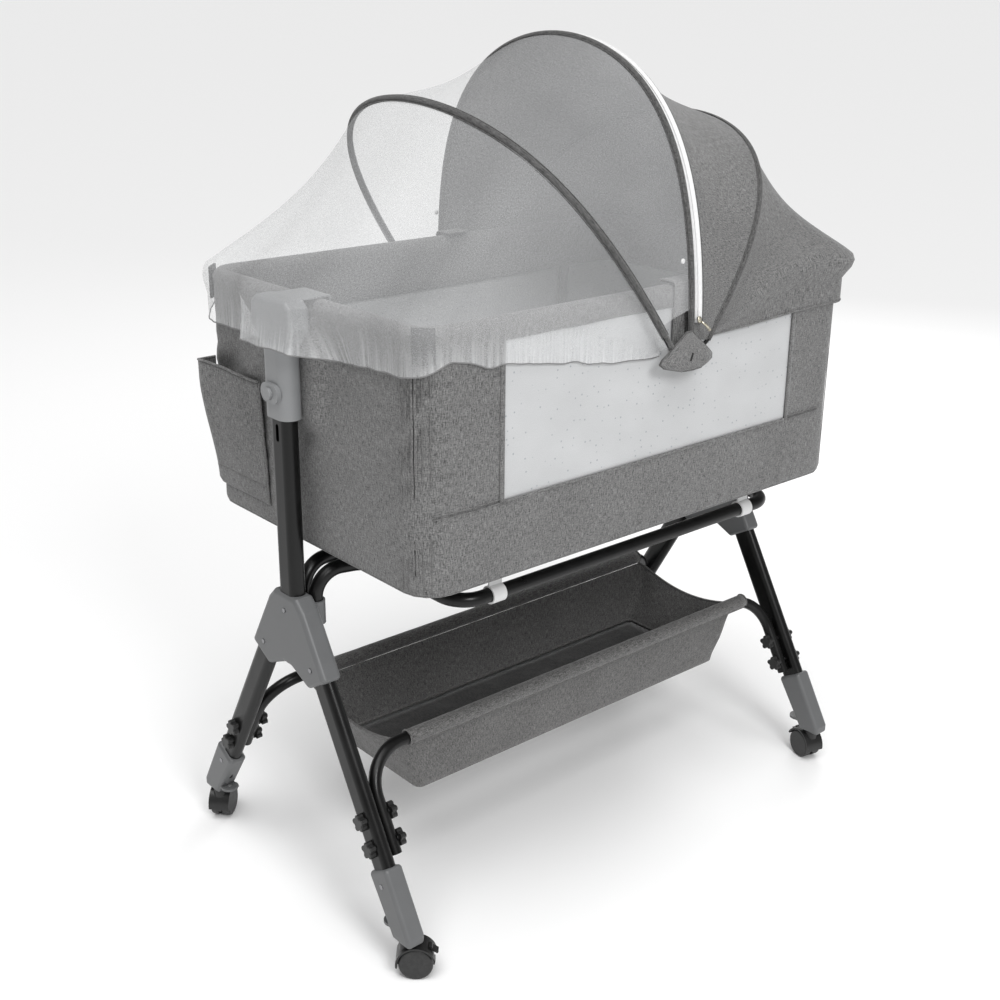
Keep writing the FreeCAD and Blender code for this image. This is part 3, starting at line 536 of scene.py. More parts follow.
# ---------------------------------------------------------------- tub outline
def loop_round(half_x, half_y, corner, step=7.0, breaks=()):
    """(point, outward normal, run) round a rounded rectangle, from the near end of the front side."""
    found = []
    straight_x = half_x - corner
    straight_y = half_y - corner
    stops_x = [-straight_x, *breaks, straight_x]
    sides = (
        (Vector((0, -half_y, 0)), Vector((1, 0, 0)), stops_x),
        (Vector((half_x, 0, 0)), Vector((0, 1, 0)), [-straight_y, straight_y]),
        (Vector((0, half_y, 0)), Vector((-1, 0, 0)), stops_x),
        (Vector((-half_x, 0, 0)), Vector((0, -1, 0)), [-straight_y, straight_y]),
    )
    turns = 8
    for origin, along, stops in sides:
        normal = Vector((along.y, -along.x, 0))
        for first, last in zip(stops, stops[1:]):
            parts = max(1, round((last - first) / step))
            for part in range(parts):
                found.append((origin + along * mix(first, last, part / parts), normal))
        end = origin + along * stops[-1]
        centre = end - normal * corner
        for turn in range(turns):
            angle = math.pi / 2 * turn / turns
            out = normal * math.cos(angle) + along * math.sin(angle)
            found.append((centre + out * corner, out))
    run = 0.0
    result = []
    for index, (point, normal) in enumerate(found):
        if index:
            run += (point - found[index - 1][0]).length
        result.append((point, normal, run))
    return result


TUB_LOOP = loop_round(TUB_X, TUB_Y, TUB_CORNER, breaks=(-WINDOW_HALF, WINDOW_HALF))


def end_path(end, start_x, share):
    """Point and outward normal on the half loop that runs from the front at start_x round one end."""
    straight_x = TUB_X - TUB_CORNER - end * start_x
    straight_y = TUB_Y - TUB_CORNER
    arc = math.pi / 2 * TUB_CORNER
    half = straight_x + arc + straight_y
    behind = share > 0.5
    run = 2 * half * (1 - share if behind else share)
    if run < straight_x:
        point = Vector((start_x + end * run, -TUB_Y, 0))
        normal = Vector((0, -1, 0))
    elif run < straight_x + arc:
        angle = (run - straight_x) / TUB_CORNER
        normal = Vector((end * math.sin(angle), -math.cos(angle), 0))
        point = Vector((end * (TUB_X - TUB_CORNER), -straight_y, 0)) + normal * TUB_CORNER
    else:
        point = Vector((end * TUB_X, -straight_y + run - straight_x - arc, 0))
        normal = Vector((end, 0, 0))
    if behind:
        point.y, normal.y = -point.y, -normal.y
    return point, normal


def wall_swell(point, normal, run, z):
    """How far the tub's outer cloth stands off its plain wall."""
    low = 1 - smooth((z - TUB_Z) / LOW_BAND)
    soft = 2.0 * ripple(run * 0.013, z * 0.008, 4.0) + 0.9 * ripple(run * 0.034, z * 0.03, 14.0)
    folds = corner_creases(point, z)
    if normal.y < -0.9:
        reach = smooth((point.x + 260) / 160) * (1 - smooth((point.x - 320) / 60))
        folds = 1.7 * low * reach * math.sin(run * 0.19 + 1.4 * ripple(run * 0.02, 0, 2.0))
        folds *= 0.7 + 0.6 * ripple(run * 0.03, 1.0, 8.0)
        if FOLD_NEAR_X < point.x < FOLD_FAR_X and abs(z - FOLD_Z) < 1.0:
            folds -= 1.4
    hang = 0.9 * (1 - low) * ripple(run * 0.045, z * 0.005, 11.0)
    edge = smooth((z - TUB_Z) / 9)
    bracket = smooth((64 - abs(point.y)) / 26) * smooth((z - 690) / 38) * abs(normal.x)
    return (soft + folds + hang) * edge * (1 - bracket) + BRACKET_COVER * bracket


def corner_creases(point, z):
    """Soft slanting creases that run from the near corners into the end wall."""
    reach = smooth((-150 - point.x) / 120) * smooth((z - 560) / 60) * smooth((840 - z) / 40)
    slant = z * 0.017 + point.y * 0.015 - point.x * 0.017
    wave = ripple(slant, 0.004 * z, 21.0) + 0.5 * ripple(slant * 2.3, 0.01 * z, 22.0)
    return 6.5 * wave * reach


def wall_point(index, offset, z, swell=True):
    point, normal, run = TUB_LOOP[index]
    extra = wall_swell(point, normal, run, z) if swell else 0.0
    place = point + normal * (offset + extra)
    place.z = z
    return place


def in_window(index):
    first = TUB_LOOP[index][0]
    second = TUB_LOOP[(index + 1) % len(TUB_LOOP)][0]
    middle = (first + second) / 2
    return abs(middle.x) < WINDOW_HALF and abs(middle.y) > TUB_Y - 1


def make_tub(cloth, lining, mesh, board):
    heights = [TUB_Z + 9, TUB_Z + 20]
    heights += [mix(TUB_Z + 20, FOLD_Z - 4, step / 8) for step in range(1, 9)]
    heights += [FOLD_Z, FOLD_Z + 4]
    heights += [mix(FOLD_Z + 4, WINDOW_HIGH, step / 16) for step in range(1, 17)]
    heights += [WALL_TOP]
    around = range(len(TUB_LOOP))
    rows = [[wall_point(i, offset, TUB_Z + rise, False) for i in around] for offset, rise in BOTTOM_TURN]
    rows += [[wall_point(i, 0.0, z) for i in around] for z in heights]
    rows += [[wall_point(i, offset, z, False) for i in around] for offset, z in RIM_FOLD]
    first = len(BOTTOM_TURN) + heights.index(FOLD_Z)
    last = len(BOTTOM_TURN) + heights.index(WINDOW_HIGH)

    def not_window(row, column):
        return not (first <= row < last and in_window(column))

    shell = panel("tub_fabric", rows, cloth, closed=True, keep=not_window)
    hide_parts("tub_shell")
    floor_rows = [[Vector((point.x * share, point.y * share, point.z)) for point in rows[0]]
                  for share in (1.0, 0.98, 0.6, 0.2)]
    panel("tub_underside", floor_rows, cloth, thickness=0.8, closed=True, ends=True)
    make_tub_lining(lining, mesh)
    for name, side in (("front_window", FRONT), ("back_window", BACK)):
        make_window(name, side, mesh, cloth)
    make_fold_seams(cloth)
    bottom = [wall_point(i, -3.2, TUB_Z + 2.6, False) for i in around[::2]]
    cord("tub_bottom_piping", bottom, 2.3, cloth, loop=True)
    liner = [[Vector((x, y, BOARD_TOP + 0.2)) for x in (-392, 392)] for y in (-240, 240)]
    panel("tub_floor_liner", liner, board, slot="board", thickness=0.4)


def make_tub_lining(lining, mesh):
    """Inner wall down to the mattress: dotted mesh round the far end, plain cloth elsewhere."""
    rows = []
    for step in range(19):
        z = mix(MATTRESS_LOW.z + 16, LINING_TOP, step / 18)
        inset = mix(-6.2, -12.0, smooth((z - LINING_TOP + 36) / 36))
        rows.append([wall_point(i, inset + 0.8 * ripple(i * 0.13, z * 0.02, 6.0), z, False)
                     for i in range(len(TUB_LOOP))])

    def dotted(_, column):
        return not in_window(column) and TUB_LOOP[column][0].x > DOTTED_FROM_X

    def plain(_, column):
        return not in_window(column) and not dotted(_, column)

    panel("tub_lining", rows, lining, thickness=0.8, closed=True, keep=plain)
    panel("tub_lining_dotted", rows, mesh, slot="fabric_window", thickness=0.8, closed=True, keep=dotted)


def make_fold_seams(cloth):
    """Stitched lines above and below the fold, between the front panel's corners and the zips."""
    wall = [i for i in range(len(TUB_LOOP)) if TUB_LOOP[i][0].y < -TUB_Y + 20]
    spans = (("near", FOLD_NEAR_X + 1, -WINDOW_HALF - 6), ("far", WINDOW_HALF + 6, FOLD_FAR_X - 2))
    for name, low, high in spans:
        for lift in (-2.5, 2.5):
            line = [Vector((mix(low, high, step / 16), 0, FOLD_Z + lift)) for step in range(17)]
            for point in line:
                nearest = min(wall, key=lambda i: abs(TUB_LOOP[i][0].x - point.x))
                point.y = wall_point(nearest, 0.9, FOLD_Z + lift).y
            cord(f"fold_seam_{name}_{lift}", line, 0.8, cloth, sides=6)


def make_window(name, side, mesh, cloth):
    """See-through panel with a slack middle, stitched bindings at its ends and a narrow sill."""
    overlap = 7.0
    steps = 60

    def place(rise, share):
        z = mix(WINDOW_LOW - overlap, WINDOW_HIGH + overlap, rise)
        x = mix(-WINDOW_HALF - overlap, WINDOW_HALF + overlap, share)
        inner = smooth((WINDOW_HALF + 4 - abs(x)) / 60) * smooth((z - WINDOW_LOW + 4) / 40)
        slack = 2.2 * inner * ripple(x * 0.012, z * 0.018, 3.0 + side)
        return Vector((x, side * (TUB_Y - 1.9 + slack), z))

    window = panel(name + "_mesh", surface(24, steps, place), mesh, slot="fabric_window", thickness=0.7)
    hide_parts(name)
    out = Vector((0, side, 0))
    for end in (NEAR, FAR):
        x = end * (WINDOW_HALF + 3.5)
        y = side * (TUB_Y + 0.4)
        points = [Vector((x, y, mix(WINDOW_LOW - 2, WINDOW_HIGH, step / 14))) for step in range(15)]
        ribbon(f"{name}_binding_{end}", points, [out] * 15, 8.0, 1.4, cloth)
        seam = [point + Vector((-end * 2.0, side * 1.3, 0)) for point in points]
        cord(f"{name}_seam_{end}", seam, 0.45, cloth, sides=6)
    y = side * (TUB_Y + 0.3)
    points = [Vector((mix(-WINDOW_HALF, WINDOW_HALF, part / steps), y, WINDOW_LOW - 1.5))
              for part in range(steps + 1)]
    ribbon(name + "_sill", points, [out] * len(points), 4.0, 1.2, cloth)


def corner_at(end, degrees, offset):
    """Point and normal on a front corner of the tub, degrees round from the long side."""
    angle = math.radians(degrees)
    normal = Vector((end * math.sin(angle), -math.cos(angle), 0))
    centre = Vector((end * (TUB_X - TUB_CORNER), TUB_CORNER - TUB_Y, 0))
    return centre + normal * (TUB_CORNER + offset), normal


def make_corner_zips(cloth, dark):
    """Slits at the front corners where the front panel unzips, with stitched facings. The inside of each slit
    is a near-black strip, painted shade.
    """
    steps = 30
    slit_top = 826
    facing_low, facing_high = TUB_Z + 7, 846
    for name, end, degrees, slit_low in (("near", NEAR, 62, 568), ("far", FAR, 70, 660)):
        base, normal = corner_at(end, degrees, 0.8)
        along = normal.cross(UP).normalized()
        heights = [mix(slit_low, slit_top, step / steps) for step in range(steps + 1)]
        # near-black strip down the middle of the slit: painted shade inside the gap between the lips
        gap = [base + UP * z for z in heights]
        ribbon(f"zip_slit_shade_{name}", gap, [normal] * len(gap), 2.2, 0.9, dark)
        for side in (-1, 1):
            lip = []
            for z in heights:
                spread = 2.2 + 1.2 * ripple(z * 0.03, side, 5.0)
                lip.append(base + along * side * spread + UP * z + normal * 0.6)
            cord(f"zip_lip_{name}_{side}", lip, 1.7, cloth)
        for turn in (-26, -13, 14, 26):
            edge, _ = corner_at(end, degrees + turn, 0.9)
            seam = [edge + UP * mix(facing_low, facing_high, step / steps) for step in range(steps + 1)]
            cord(f"facing_seam_{name}_{turn}", seam, 0.6, cloth, sides=6)


def make_pocket(cloth):
    """Open pocket on the near end: a loose panel that gapes at its mouth and at the side by the upright."""
    wall = -TUB_X - 1.2
    deepest = wall - POCKET_LOW.x - 1
    closing = 0.88

    def place(rise, share):
        low_y = mix(POCKET_LOW.y + 1, POCKET_LOW.y + 9, rise)
        y = mix(low_y, POCKET_HIGH.y - 1, min(share / closing, 1.0))
        top = mix(POCKET_HIGH.z - 12, POCKET_HIGH.z - 1, smooth(share * 1.15))
        z = mix(POCKET_LOW.z + 2, top, rise)
        out = mix(3 + 3 * share, 5 + 28 * share, smooth(rise * 1.1))
        out = min(out * (1 - 0.12 * math.sin(math.pi * share)), deepest)
        if share > closing:
            out *= 1 - (share - closing) / (1 - closing)
        out += 1.2 * ripple(share * 5, rise * 4, 7.0) * smooth(rise * 3) * (1 - smooth(share * 8 - 7))
        if rise == 0:
            out = 1.0
        return Vector((wall - max(out, 0.8), y, z))

    rows = surface(20, 25, place)
    pocket = panel("pocket_panel", rows, cloth, thickness=1.6)
    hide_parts("end_pocket")
    cord("pocket_hem", [point + Vector((-0.4, 0, 0.2)) for point in rows[-1]], 1.9, cloth)
    cord("pocket_side_hem", [row[0] for row in rows], 1.5, cloth)
    stitched = rows[3][:23]
    cord("pocket_seam", [point + Vector((-0.9, 0, 0)) for point in stitched], 0.6, cloth, sides=6)


def make_mattress(cover):
    """Foam pad with a quilted cover: crowned top, sides that pull in between the corners, piped edges."""
    low, high = MATTRESS_LOW.z, MATTRESS_HIGH.z
    thickness = 40
    outline = loop_round(MATTRESS_HIGH.x, MATTRESS_HIGH.y, 34.0, step=12.0)
    # offset from the outline and height above the underside
    profile = ((-9, 0.3), (-3, 2.5), (0, 7), (-0.6, 14), (-1.6, 20), (-0.6, 27), (0, 33), (-3, 37.5),
               (-9, 39.4))
    rows = []
    for offset, rise in profile:
        row = []
        for point, normal, run in outline:
            pull = 1.6 * (1 - smooth(abs(ripple(run * 0.01, 0.5, 3.0)) * 2))
            place = point + normal * (offset - pull * math.sin(math.pi * rise / thickness))
            row.append(place + UP * (low + rise))
        rows.append(row)
    for share in (0.93, 0.85, 0.74, 0.6, 0.45, 0.3, 0.15):
        row = []
        for point, normal, _ in outline:
            flat = (point + normal * -9) * share
            quilt = 0.9 * abs(math.sin(flat.x * 0.042) * math.sin(flat.y * 0.042))
            row.append(flat + UP * (high - 0.6 + quilt * smooth((1 - share) * 6)))
        rows.append(row)
    pad = grid("mattress_pad", rows, closed=True, ends=True)
    dress(pad, cover, "tub")
    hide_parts("mattress")
    for name, rise in (("low", 3.6), ("high", 36.6)):
        edge = [point + normal * -1.4 + UP * (low + rise) for point, normal, _ in outline]
        cord(f"mattress_piping_{name}", edge, 1.6, cover, loop=True)


# ---------------------------------------------------------------- hoops and canopy
def hoop_point(name, angle, lift=0.0):
    """Point on a hoop: angle 0 at its front foot, pi at its back foot, lifted outward by lift."""
    foot_x, foot_z, apex_x, apex_z, half = HOOPS[name]
    reach = math.hypot(apex_x - foot_x, apex_z - foot_z)
    rise = (reach + lift) * math.sin(angle)
    return Vector((
        foot_x + (apex_x - foot_x) / reach * rise,
        -(half + lift) * math.cos(angle) * (1 + HOOP_FULLNESS * math.sin(angle) ** 2),
        foot_z + (apex_z - foot_z) / reach * rise,
    ))


def outward(point):
    return (point - Vector((PIVOT.x, 0, PIVOT.z))).normalized()


def make_hoop_sleeves_with_shade_lines(cloth):
    """Cloth tunnels round the hoops in the darker binding cloth, whose darkness is partly its own colour and
    partly painted shade, with a thin dark cord on either side that is painted shade along the sleeve's edges.
    """
    for name, body in HOOP_BODY.items():
        line = [hoop_point(name, math.pi * step / 96) for step in range(97)]
        cord(name + "_sleeve", line, SLEEVE_R, cloth, body, sides=12)
        # dark cords beside each sleeve: painted shade where the sleeve's ridge meets the canopy cloth
        for side in (-1, 1):
            seam = []
            for index in range(2, 95):
                along = (line[index + 1] - line[index - 1]).normalized()
                across = along.cross(outward(line[index])).normalized()
                seam.append(line[index] + across * side * (SLEEVE_R + 1.2))
            cord(f"{name}_seam_{side}", seam, 0.8, cloth, body, sides=6)


def sagged(place, angle, way, dip, crease):
    """Place moved in towards the pivots, most halfway between the cloth's two edges."""
    return place - outward(place) * math.sin(math.pi * way) * (dip + crease * min(1.0, math.sin(angle) * 2))


def between_hoops(first, second, edge, lift, sag, steps_u, steps_v, seed):
    """Rows of points stretched from one hoop to another, dipping between them."""
    rows = []
    for step in range(steps_v + 1):
        share = step / steps_v
        row = []
        for part in range(steps_u + 1):
            angle = mix(edge, math.pi - edge, part / steps_u)
            place = mix(hoop_point(first, angle, lift), hoop_point(second, angle, lift), share)
            crease = 2.2 * ripple(part * 0.13, share * 1.3, seed)
            row.append(sagged(place, angle, share, sag * math.sin(angle) ** 0.6, crease))
        rows.append(row)
    return rows


def make_canopy_front(cloth):
    rows = between_hoops("hoop_rear", "hoop_main", 0.0, 0.6, 13.0, 84, 22, 1.0)
    front = panel("canopy_front", rows, cloth, None)
    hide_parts("canopy_fabric_front")
    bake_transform(front)


def head_push(point, fade):
    """How much a skirt stands away from the tub because a head lies under it."""
    return smooth((HEAD_HALF + fade - abs(point.y)) / fade) * smooth((abs(point.x) - HEAD_FROM_X) / 20)


def skirt_rows(hoop, end, start_x, hem_z, rim_z, puff, steps_u, steps_v, sag, seed):
    """Cloth from a hoop down to the rim at one end, round the rim with some puff, and in to a hem."""
    edge = 0.006 * math.pi
    columns = []
    for part in range(steps_u + 1):
        share = part / steps_u
        angle = mix(edge, math.pi - edge, share)
        top = hoop_point(hoop, angle, 0.6)
        base, normal = end_path(end, start_x, share)
        push = head_push(base, HEM_FADE)
        corner = 2 * abs(normal.x * normal.y)
        hem = base + normal * (3.5 + HEAD_COVER_HEM * push + LATCH_COVER * corner) + UP * hem_z(base)
        lift = smooth((top.z - hem.z) / 150)
        away = mix(6.0, 4.0 + HEAD_COVER_RIM * head_push(base, RIM_FADE) + LATCH_COVER * corner, lift)
        shoulder = base + normal * away + UP * mix(hem.z + 4, rim_z, lift)
        column = []
        for step in range(steps_v + 1):
            way = step / steps_v
            place = mix(top, shoulder, way)
            crease = 2.4 * ripple(share * 11, way * 1.2, seed)
            column.append(sagged(place, angle, way, sag * math.sin(angle) ** 0.7, crease))
        drop = shoulder.z - hem.z
        swell = (puff * (1 + 0.8 * corner) * (1 - 0.6 * push)) * lift
        for step in range(1, HEM_ROWS + 1):
            way = step / HEM_ROWS
            place = mix(shoulder, hem, way)
            place += normal * (swell * math.sin(math.pi * min(way * 1.9, 1.0) ** 0.8))
            place += normal * 1.3 * ripple(share * 30, way, seed + 3) * smooth(drop / 40) * way
            column.append(place)
        columns.append(column)
    return [list(row) for row in zip(*columns)]


def make_canopy_rear(cloth):
    def hem_z(point):
        return 800.0 + 8.0 * smooth((point.x - 80) / 260)

    rows = skirt_rows("hoop_rear", FAR, 78.0, hem_z, 887.0, 9.0, 150, 20, 16.0, 5.0)
    rear = panel("canopy_rear", rows, cloth, None)
    cord("canopy_rear_hem", [point + UP for point in rows[-1]], 1.9, cloth)
    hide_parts("canopy_fabric_rear")
    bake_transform(rear)


def make_nets(net, gathered_net, hem_cloth):
    rows = between_hoops("hoop_net", "hoop_main", 0.035 * math.pi, 0.6, 15.0, 84, 24, 21.0)
    upper = grid("net_upper", rows)
    dress(upper, net)
    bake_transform(upper)

    def hem_z(point):
        front = mix(NET_HEM_PIVOT, NET_HEM_SIDE, smooth((-10 - point.x) / 350))
        front += NET_HEM_RISE * smooth((-300 - point.x) / 90)
        at_end = NET_HEM_END + NET_HEM_RISE * head_push(point, HEM_FADE) + 12.0 * smooth(-point.y / 200)
        return mix(front, at_end, smooth((-360 - point.x) / 43))

    rows = skirt_rows("hoop_net", NEAR, -8.0, hem_z, 885.0, 3.0, 330, 26, 20.0, 15.0)
    for depth, row in enumerate(rows[-HEM_ROWS:]):
        gather = (depth / (HEM_ROWS - 1)) ** 2
        for index, point in enumerate(row):
            frill = ripple(index * 0.45, depth * 0.12, 31.0)
            point += outward(Vector((point.x, point.y, PIVOT.z))) * frill * 2.0 * gather
            point.z += 4.5 * gather * ripple(index * 0.11, 3.0, 37.0)
    front = grid("net_front", rows[::-1])
    dress(front, gathered_net, "net_hoop")
    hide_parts("insect_net")
    hem = cord("net_elastic_hem", rows[-1], 0.9, hem_cloth, "net_hoop", sides=6)
    for piece in (front, hem):
        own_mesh(piece)


def make_zip_band(white, binding, brass):
    """White zip tape beside the main hoop, tilted to the front, with its pull at the front foot."""
    # distance from the main hoop towards the rear one, and outward
    offsets = {"tape": (10.2, 3.0), "teeth": (9.8, 4.2), "binding": (17.0, 5.0), "seam": (20.4, -0.6)}
    lines = {name: [] for name in offsets}
    normals = []
    steps = 110
    edge = 0.02 * math.pi
    for step in range(steps + 1):
        angle = mix(edge, math.pi - edge, step / steps)
        main = hoop_point("hoop_main", angle, 0.6)
        across = (hoop_point("hoop_rear", angle, 0.6) - main).normalized()
        out = outward(main)
        normals.append((out * 0.85 - across * 0.55).normalized())
        for name, (away, lift) in offsets.items():
            lines[name].append(main + across * away + out * lift)
    ribbon("zip_tape", lines["tape"], normals, 12.0, 1.0, white, "main_hoop")
    cord("zip_teeth", lines["teeth"], 1.1, white, "main_hoop", sides=6)
    cord("zip_binding", lines["binding"], 2.4, binding, "main_hoop", sides=10)
    cord("zip_seam", lines["seam"], 0.8, binding, "main_hoop", sides=6)
    start = hoop_point("hoop_main", 0.022 * math.pi, 7.0) + Vector((7, -5, -2))
    pull = [start, start + Vector((7, -2.0, -5)), start + Vector((16, -1.0, -13))]
    cord("zip_pull", pull, lambda share: 1.4 + share, brass, "main_hoop", sides=10)
    slider = disc("zip_slider", start + Vector((-3, 3, 3)), Vector((0.3, -1, 0.2)), 4.6, 3.0)
    dress(slider, brass, "main_hoop")


# height, front edge and rear edge of the tab over a pivot
FLAP_SHAPE = ((820, 18, 29), (812, 8, 37), (804, -4, 47), (796, -16, 57), (789, -28, 65), (784, -32, 70),
              (778, -24, 70), (773, -6, 62), (769, 10, 50))


def make_pivot_flaps(cloth, binding, dark):
    """Padded tab over each hoop pivot with a buttonhole, and the cloth over the clip behind it."""
    # distance from the middle and height, up over the clip and inward
    over_clip = [(256.8, z) for z in (772, 800, 830, 860, 878)]
    over_clip += [(255.0, 882.0), (250.0, 883.4), (238.0, 883.6), (226.0, 882.6)]
    for name, side in (("front", FRONT), ("back", BACK)):
        rows = []
        for z, low_x, high_x in FLAP_SHAPE:
            rows.append([])
            for part in range(19):
                across = part / 9 - 1
                bulge = math.sqrt(max(0.0, 1 - across * across)) * smooth((822 - z) / 30)
                y = side * (279.5 + 5.0 * bulge + 0.6 * ripple(across * 2, z * 0.05, 12.0))
                rows[-1].append(Vector((mix(low_x, high_x, part / 18), y, z)))
        panel(f"pivot_flap_{name}", rows, cloth, thickness=2.2)
        edge = [row[0] for row in rows] + rows[-1][1:] + [row[-1] for row in rows[-2::-1]] + rows[0][-2:0:-1]
        cord(f"pivot_flap_edge_{name}", edge, 1.5, binding, loop=True)
        # the buttonhole is a near-black cord: painted shade in the hole
        hole = [Vector((24 + 2 * k, side * 285.2, 787 + 5 * k)) for k in (-1, -0.5, 0, 0.5, 1)]
        cord(f"pivot_buttonhole_{name}", hole, 1.7, dark)
        rows = [[Vector((x, side * (y - 2.0 * (abs(x - PIVOT.x) > 19)), z)) for x in (17, 19.5, 38, 56.5, 59)]
                for y, z in over_clip]
        panel(f"clip_cover_{name}", rows, cloth)


def make_snaps(white):
    """Snap that holds the net to the main hoop, near each foot."""
    for index, (side, share) in enumerate(((FRONT, 0.09), (BACK, 0.91))):
        place = hoop_point("hoop_main", share * math.pi, -3.0) + Vector((-13, 0, 0))
        dress(disc(f"net_snap_{index}", place, Vector((0, side, 0)), 3.6, 2.0), white, "main_hoop")


# ---------------------------------------------------------------- basket
BASKET_X = (BASKET_LOW.x + BASKET_HIGH.x) / 2
FLOOR_HALF_X = (BOARD_HIGH.x - BOARD_LOW.x) / 2 + 11
FLOOR_HALF_Y = BOARD_HIGH.y + 9
MOUTH_HALF_X = (BASKET_HIGH.x - BASKET_LOW.x) / 2 - 1
MOUTH_HALF_Y = BASKET_HIGH.y - 1
BASKET_RAIL_Y = 124.2
BASKET_RAIL_Z = 272.0


def basket_rows():
    """Points from under the floor up the walls, which dip at both ends and pleat by the corners."""
    outline = loop_round(FLOOR_HALF_X, FLOOR_HALF_Y, 14.0, step=9.0)
    rows = []
    for offset, rise in ((-14, 0.3), (-5, 0.9), (-1.2, 4)):
        lift = Vector((BASKET_X, 0, BASKET_LOW.z + rise))
        rows.append([point + normal * offset + lift for point, normal, _ in outline])
    steps = 16
    for step in range(1, steps + 1):
        rise = step / steps
        grow_x = mix(1.0, MOUTH_HALF_X / FLOOR_HALF_X, rise)
        grow_y = mix(1.0, MOUTH_HALF_Y / FLOOR_HALF_Y, rise)
        row = []
        for point, normal, run in outline:
            at_end = smooth((abs(normal.x) - 0.5) * 4)
            dip = 24.0 * at_end * (1 - (abs(point.y) / FLOOR_HALF_Y) ** 2)
            z = mix(BASKET_LOW.z + 8, BASKET_HIGH.z - 1.5 - dip, rise)
            near_end = smooth((abs(point.x) - FLOOR_HALF_X + 70) / 70)
            swell = 2.6 * math.sin(math.pi * rise) * ripple(run * 0.016, rise * 1.5, 9.0)
            pleat = 2.4 * near_end * math.sin(math.pi * rise) * ripple(run * 0.07, rise * 2.6, 13.0)
            place = Vector((point.x * grow_x + BASKET_X, point.y * grow_y, z))
            row.append(place + normal * (swell + pleat - 1.0))
        rows.append(row)
    return rows


def make_basket(cloth, dark):
    rows = basket_rows()
    walls = panel("basket_fabric", rows, cloth, "stand", thickness=1.8, closed=True)
    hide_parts("basket")
    under_rows = [[Vector(((p.x - BASKET_X) * share + BASKET_X, p.y * share, p.z)) for p in rows[0]]
                  for share in (1.0, 0.7, 0.3)]
    panel("basket_underside", under_rows, cloth, "stand", thickness=1.0, closed=True, ends=True)

    def place(rise, share):
        x = mix(BOARD_LOW.x, BOARD_HIGH.x, share)
        y = mix(BOARD_LOW.y, BOARD_HIGH.y, rise)
        return Vector((x, y, BOARD_HIGH.z + 1.4 + 0.8 * ripple(x * 0.012, y * 0.02, 17.0)))

    panel("basket_floor_cover", surface(12, 40, place), dark, "stand", thickness=1.2)
    inner = loop_round(FLOOR_HALF_X - 5.5, FLOOR_HALF_Y - 5.5, 12.0, step=9.0)
    line = [point + Vector((BASKET_X, 0, BOARD_HIGH.z + 3.2)) for point, _, _ in inner]
    cord("basket_floor_piping", line, 1.8, cloth, "stand", loop=True)
    for name, side in (("front", FRONT), ("back", BACK)):
        make_basket_sleeve(name, side * BASKET_RAIL_Y, side, cloth)
    for name, end in (("near", NEAR), ("far", FAR)):
        edge = [point for point in rows[-1] if end * (point.x - BASKET_X) > MOUTH_HALF_X - 12]
        cord(f"basket_end_hem_{name}", sorted(edge, key=lambda point: point.y), 2.2, cloth, "stand")


def make_basket_sleeve(name, y, side, cloth):
    """Cloth tunnel round a basket rail, with its stitched line and a cuff at either end."""
    sleeve = []
    for step in range(61):
        x = mix(BASKET_LOW.x + 6, BASKET_HIGH.x - 4, step / 60)
        sleeve.append(Vector((x, y, BASKET_RAIL_Z - 0.6 + 0.5 * ripple(x * 0.03, 0, 19.0))))
    cord(f"basket_sleeve_{name}", sleeve, 11.2, cloth, "stand", sides=20)
    stitch = [Vector((point.x, y + side * 8.6, BASKET_RAIL_Z - 8.4)) for point in sleeve]
    cord(f"basket_sleeve_seam_{name}", stitch, 0.7, cloth, "stand", sides=6)
    for end, x in (("near", sleeve[0].x), ("far", sleeve[-1].x)):
        ring = circle(Vector((x, y, BASKET_RAIL_Z)), Vector((0, 1, 0)), UP, 10.6, 24)
        cord(f"basket_cuff_{name}_{end}", ring, 1.6, cloth, "stand", loop=True)


# ---------------------------------------------------------------- CAD pieces' finishes
def finish_cad_pieces(finishes):
    slot_of = {part["node"]: part["material_slot"] for part in frame["record"]["subparts"]}
    for node, piece in frame["nodes"].items():
        chosen = finishes[slot_of[node]]
        if node.startswith(("castor_brake", "castor_hood")):
            chosen = finishes["castor"]
        piece.data.materials.clear()
        piece.data.materials.append(chosen)


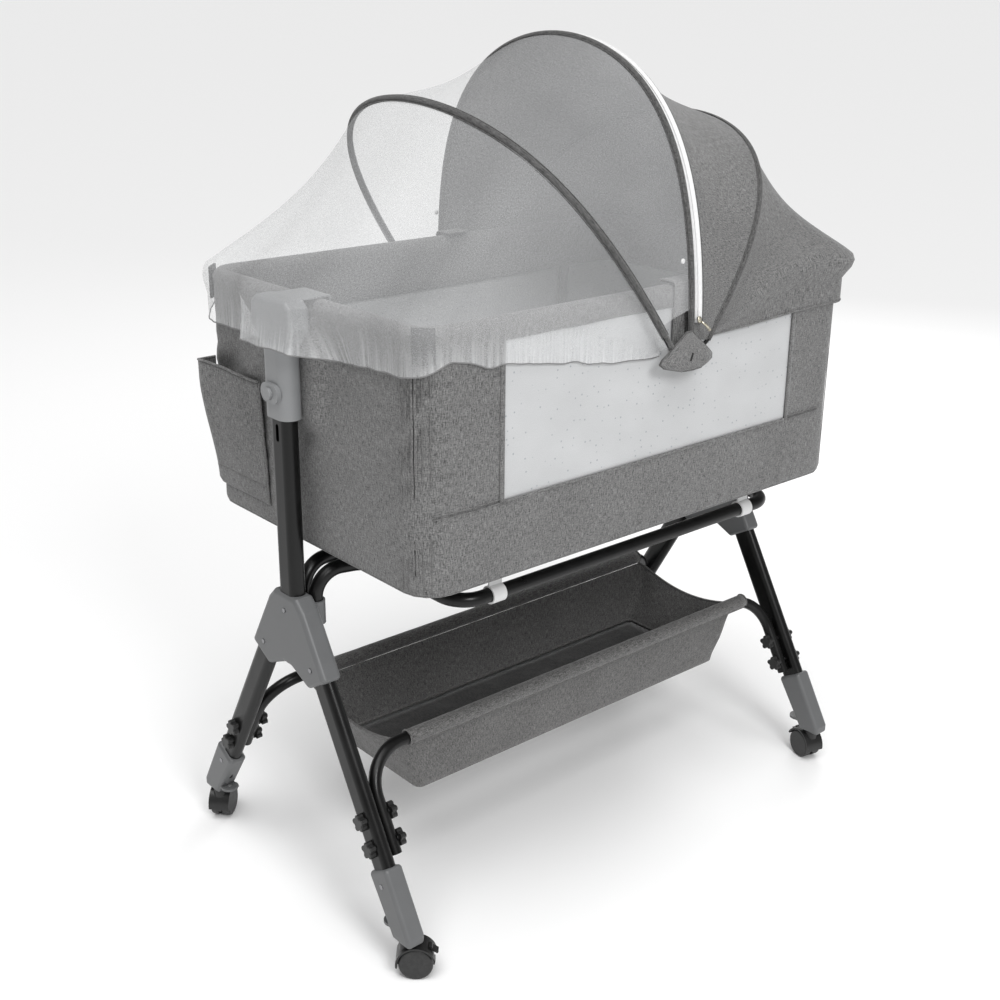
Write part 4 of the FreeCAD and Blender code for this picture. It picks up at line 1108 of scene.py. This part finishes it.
def main():
    make_camera()
    make_studio()
    cloth = linen("heathered_grey", grey(0.040, 0.004), grey(0.27, 0.006))
    lining = linen("lining_grey", grey(0.16), grey(0.36), contrast=0.25)
    dark_cloth = linen("basket_floor_grey", grey(0.025), grey(0.085, 0.01))
    basket_cloth = linen("basket_grey", grey(0.04, 0.01), grey(0.225, 0.015))
    # darker binding cloth; on the hoop sleeves and the cords beside them its darkness is partly painted shade
    # along the ridges
    binding = linen("binding_grey_and_sleeve_shade", grey(0.028), grey(0.15, 0.01))
    mesh = dotted_mesh("dotted_mesh", grey(0.56, -0.012), grey(0.33, -0.06), 0.0105)
    net = netting("insect_netting", 0.27)
    gathered_net = netting("insect_netting_gathered", 0.27, gathered=True)
    net_hem = tape("net_hem_grey", grey(0.20))
    white_tape = tape("zip_tape_white", grey(0.82))
    strap_tape = tape("strap_grey_white", grey(0.72))
    # near-black plastic used only inside the zip slits and the buttonholes: painted shade inside them
    black = moulded("painted_slit_shade", grey(0.008), 0.7)
    cover = linen("mattress_cover", grey(0.20), grey(0.42), contrast=0.25)
    brass = metal("zip_metal", (0.62, 0.58, 0.47, 1), 0.28)
    finishes = {
        "tube_black": coated_tube("powder_coat_black"),
        "steel": metal("zinc_steel", (0.30, 0.30, 0.31, 1), 0.36),
        "plastic_hub": moulded("hub_grey", grey(0.122, -0.02), 0.42),
        "plastic_head": moulded("head_silver_grey", grey(0.235, -0.02), 0.36),
        "plastic_black": moulded("knob_black", grey(0.012), 0.42),
        "castor": moulded("castor_black", grey(0.010), 0.34),
        "rubber_black": tread("castor_tyre"),
        "fabric_grey": cloth,
        "fabric_window": mesh,
        "fabric_net": net,
        "fabric_mattress": cover,
        "strap": strap_tape,
        "board": moulded("liner_board", grey(0.05), 0.8),
    }
    finish_cad_pieces(finishes)
    make_tub(cloth, lining, mesh, finishes["board"])
    make_corner_zips(cloth, black)
    make_pocket(cloth)
    make_mattress(cover)
    make_hoop_sleeves_with_shade_lines(binding)
    make_canopy_front(cloth)
    make_canopy_rear(cloth)
    make_nets(net, gathered_net, net_hem)
    make_zip_band(white_tape, binding, brass)
    make_pivot_flaps(cloth, binding, black)
    make_snaps(strap_tape)
    make_basket(basket_cloth, dark_cloth)


main()
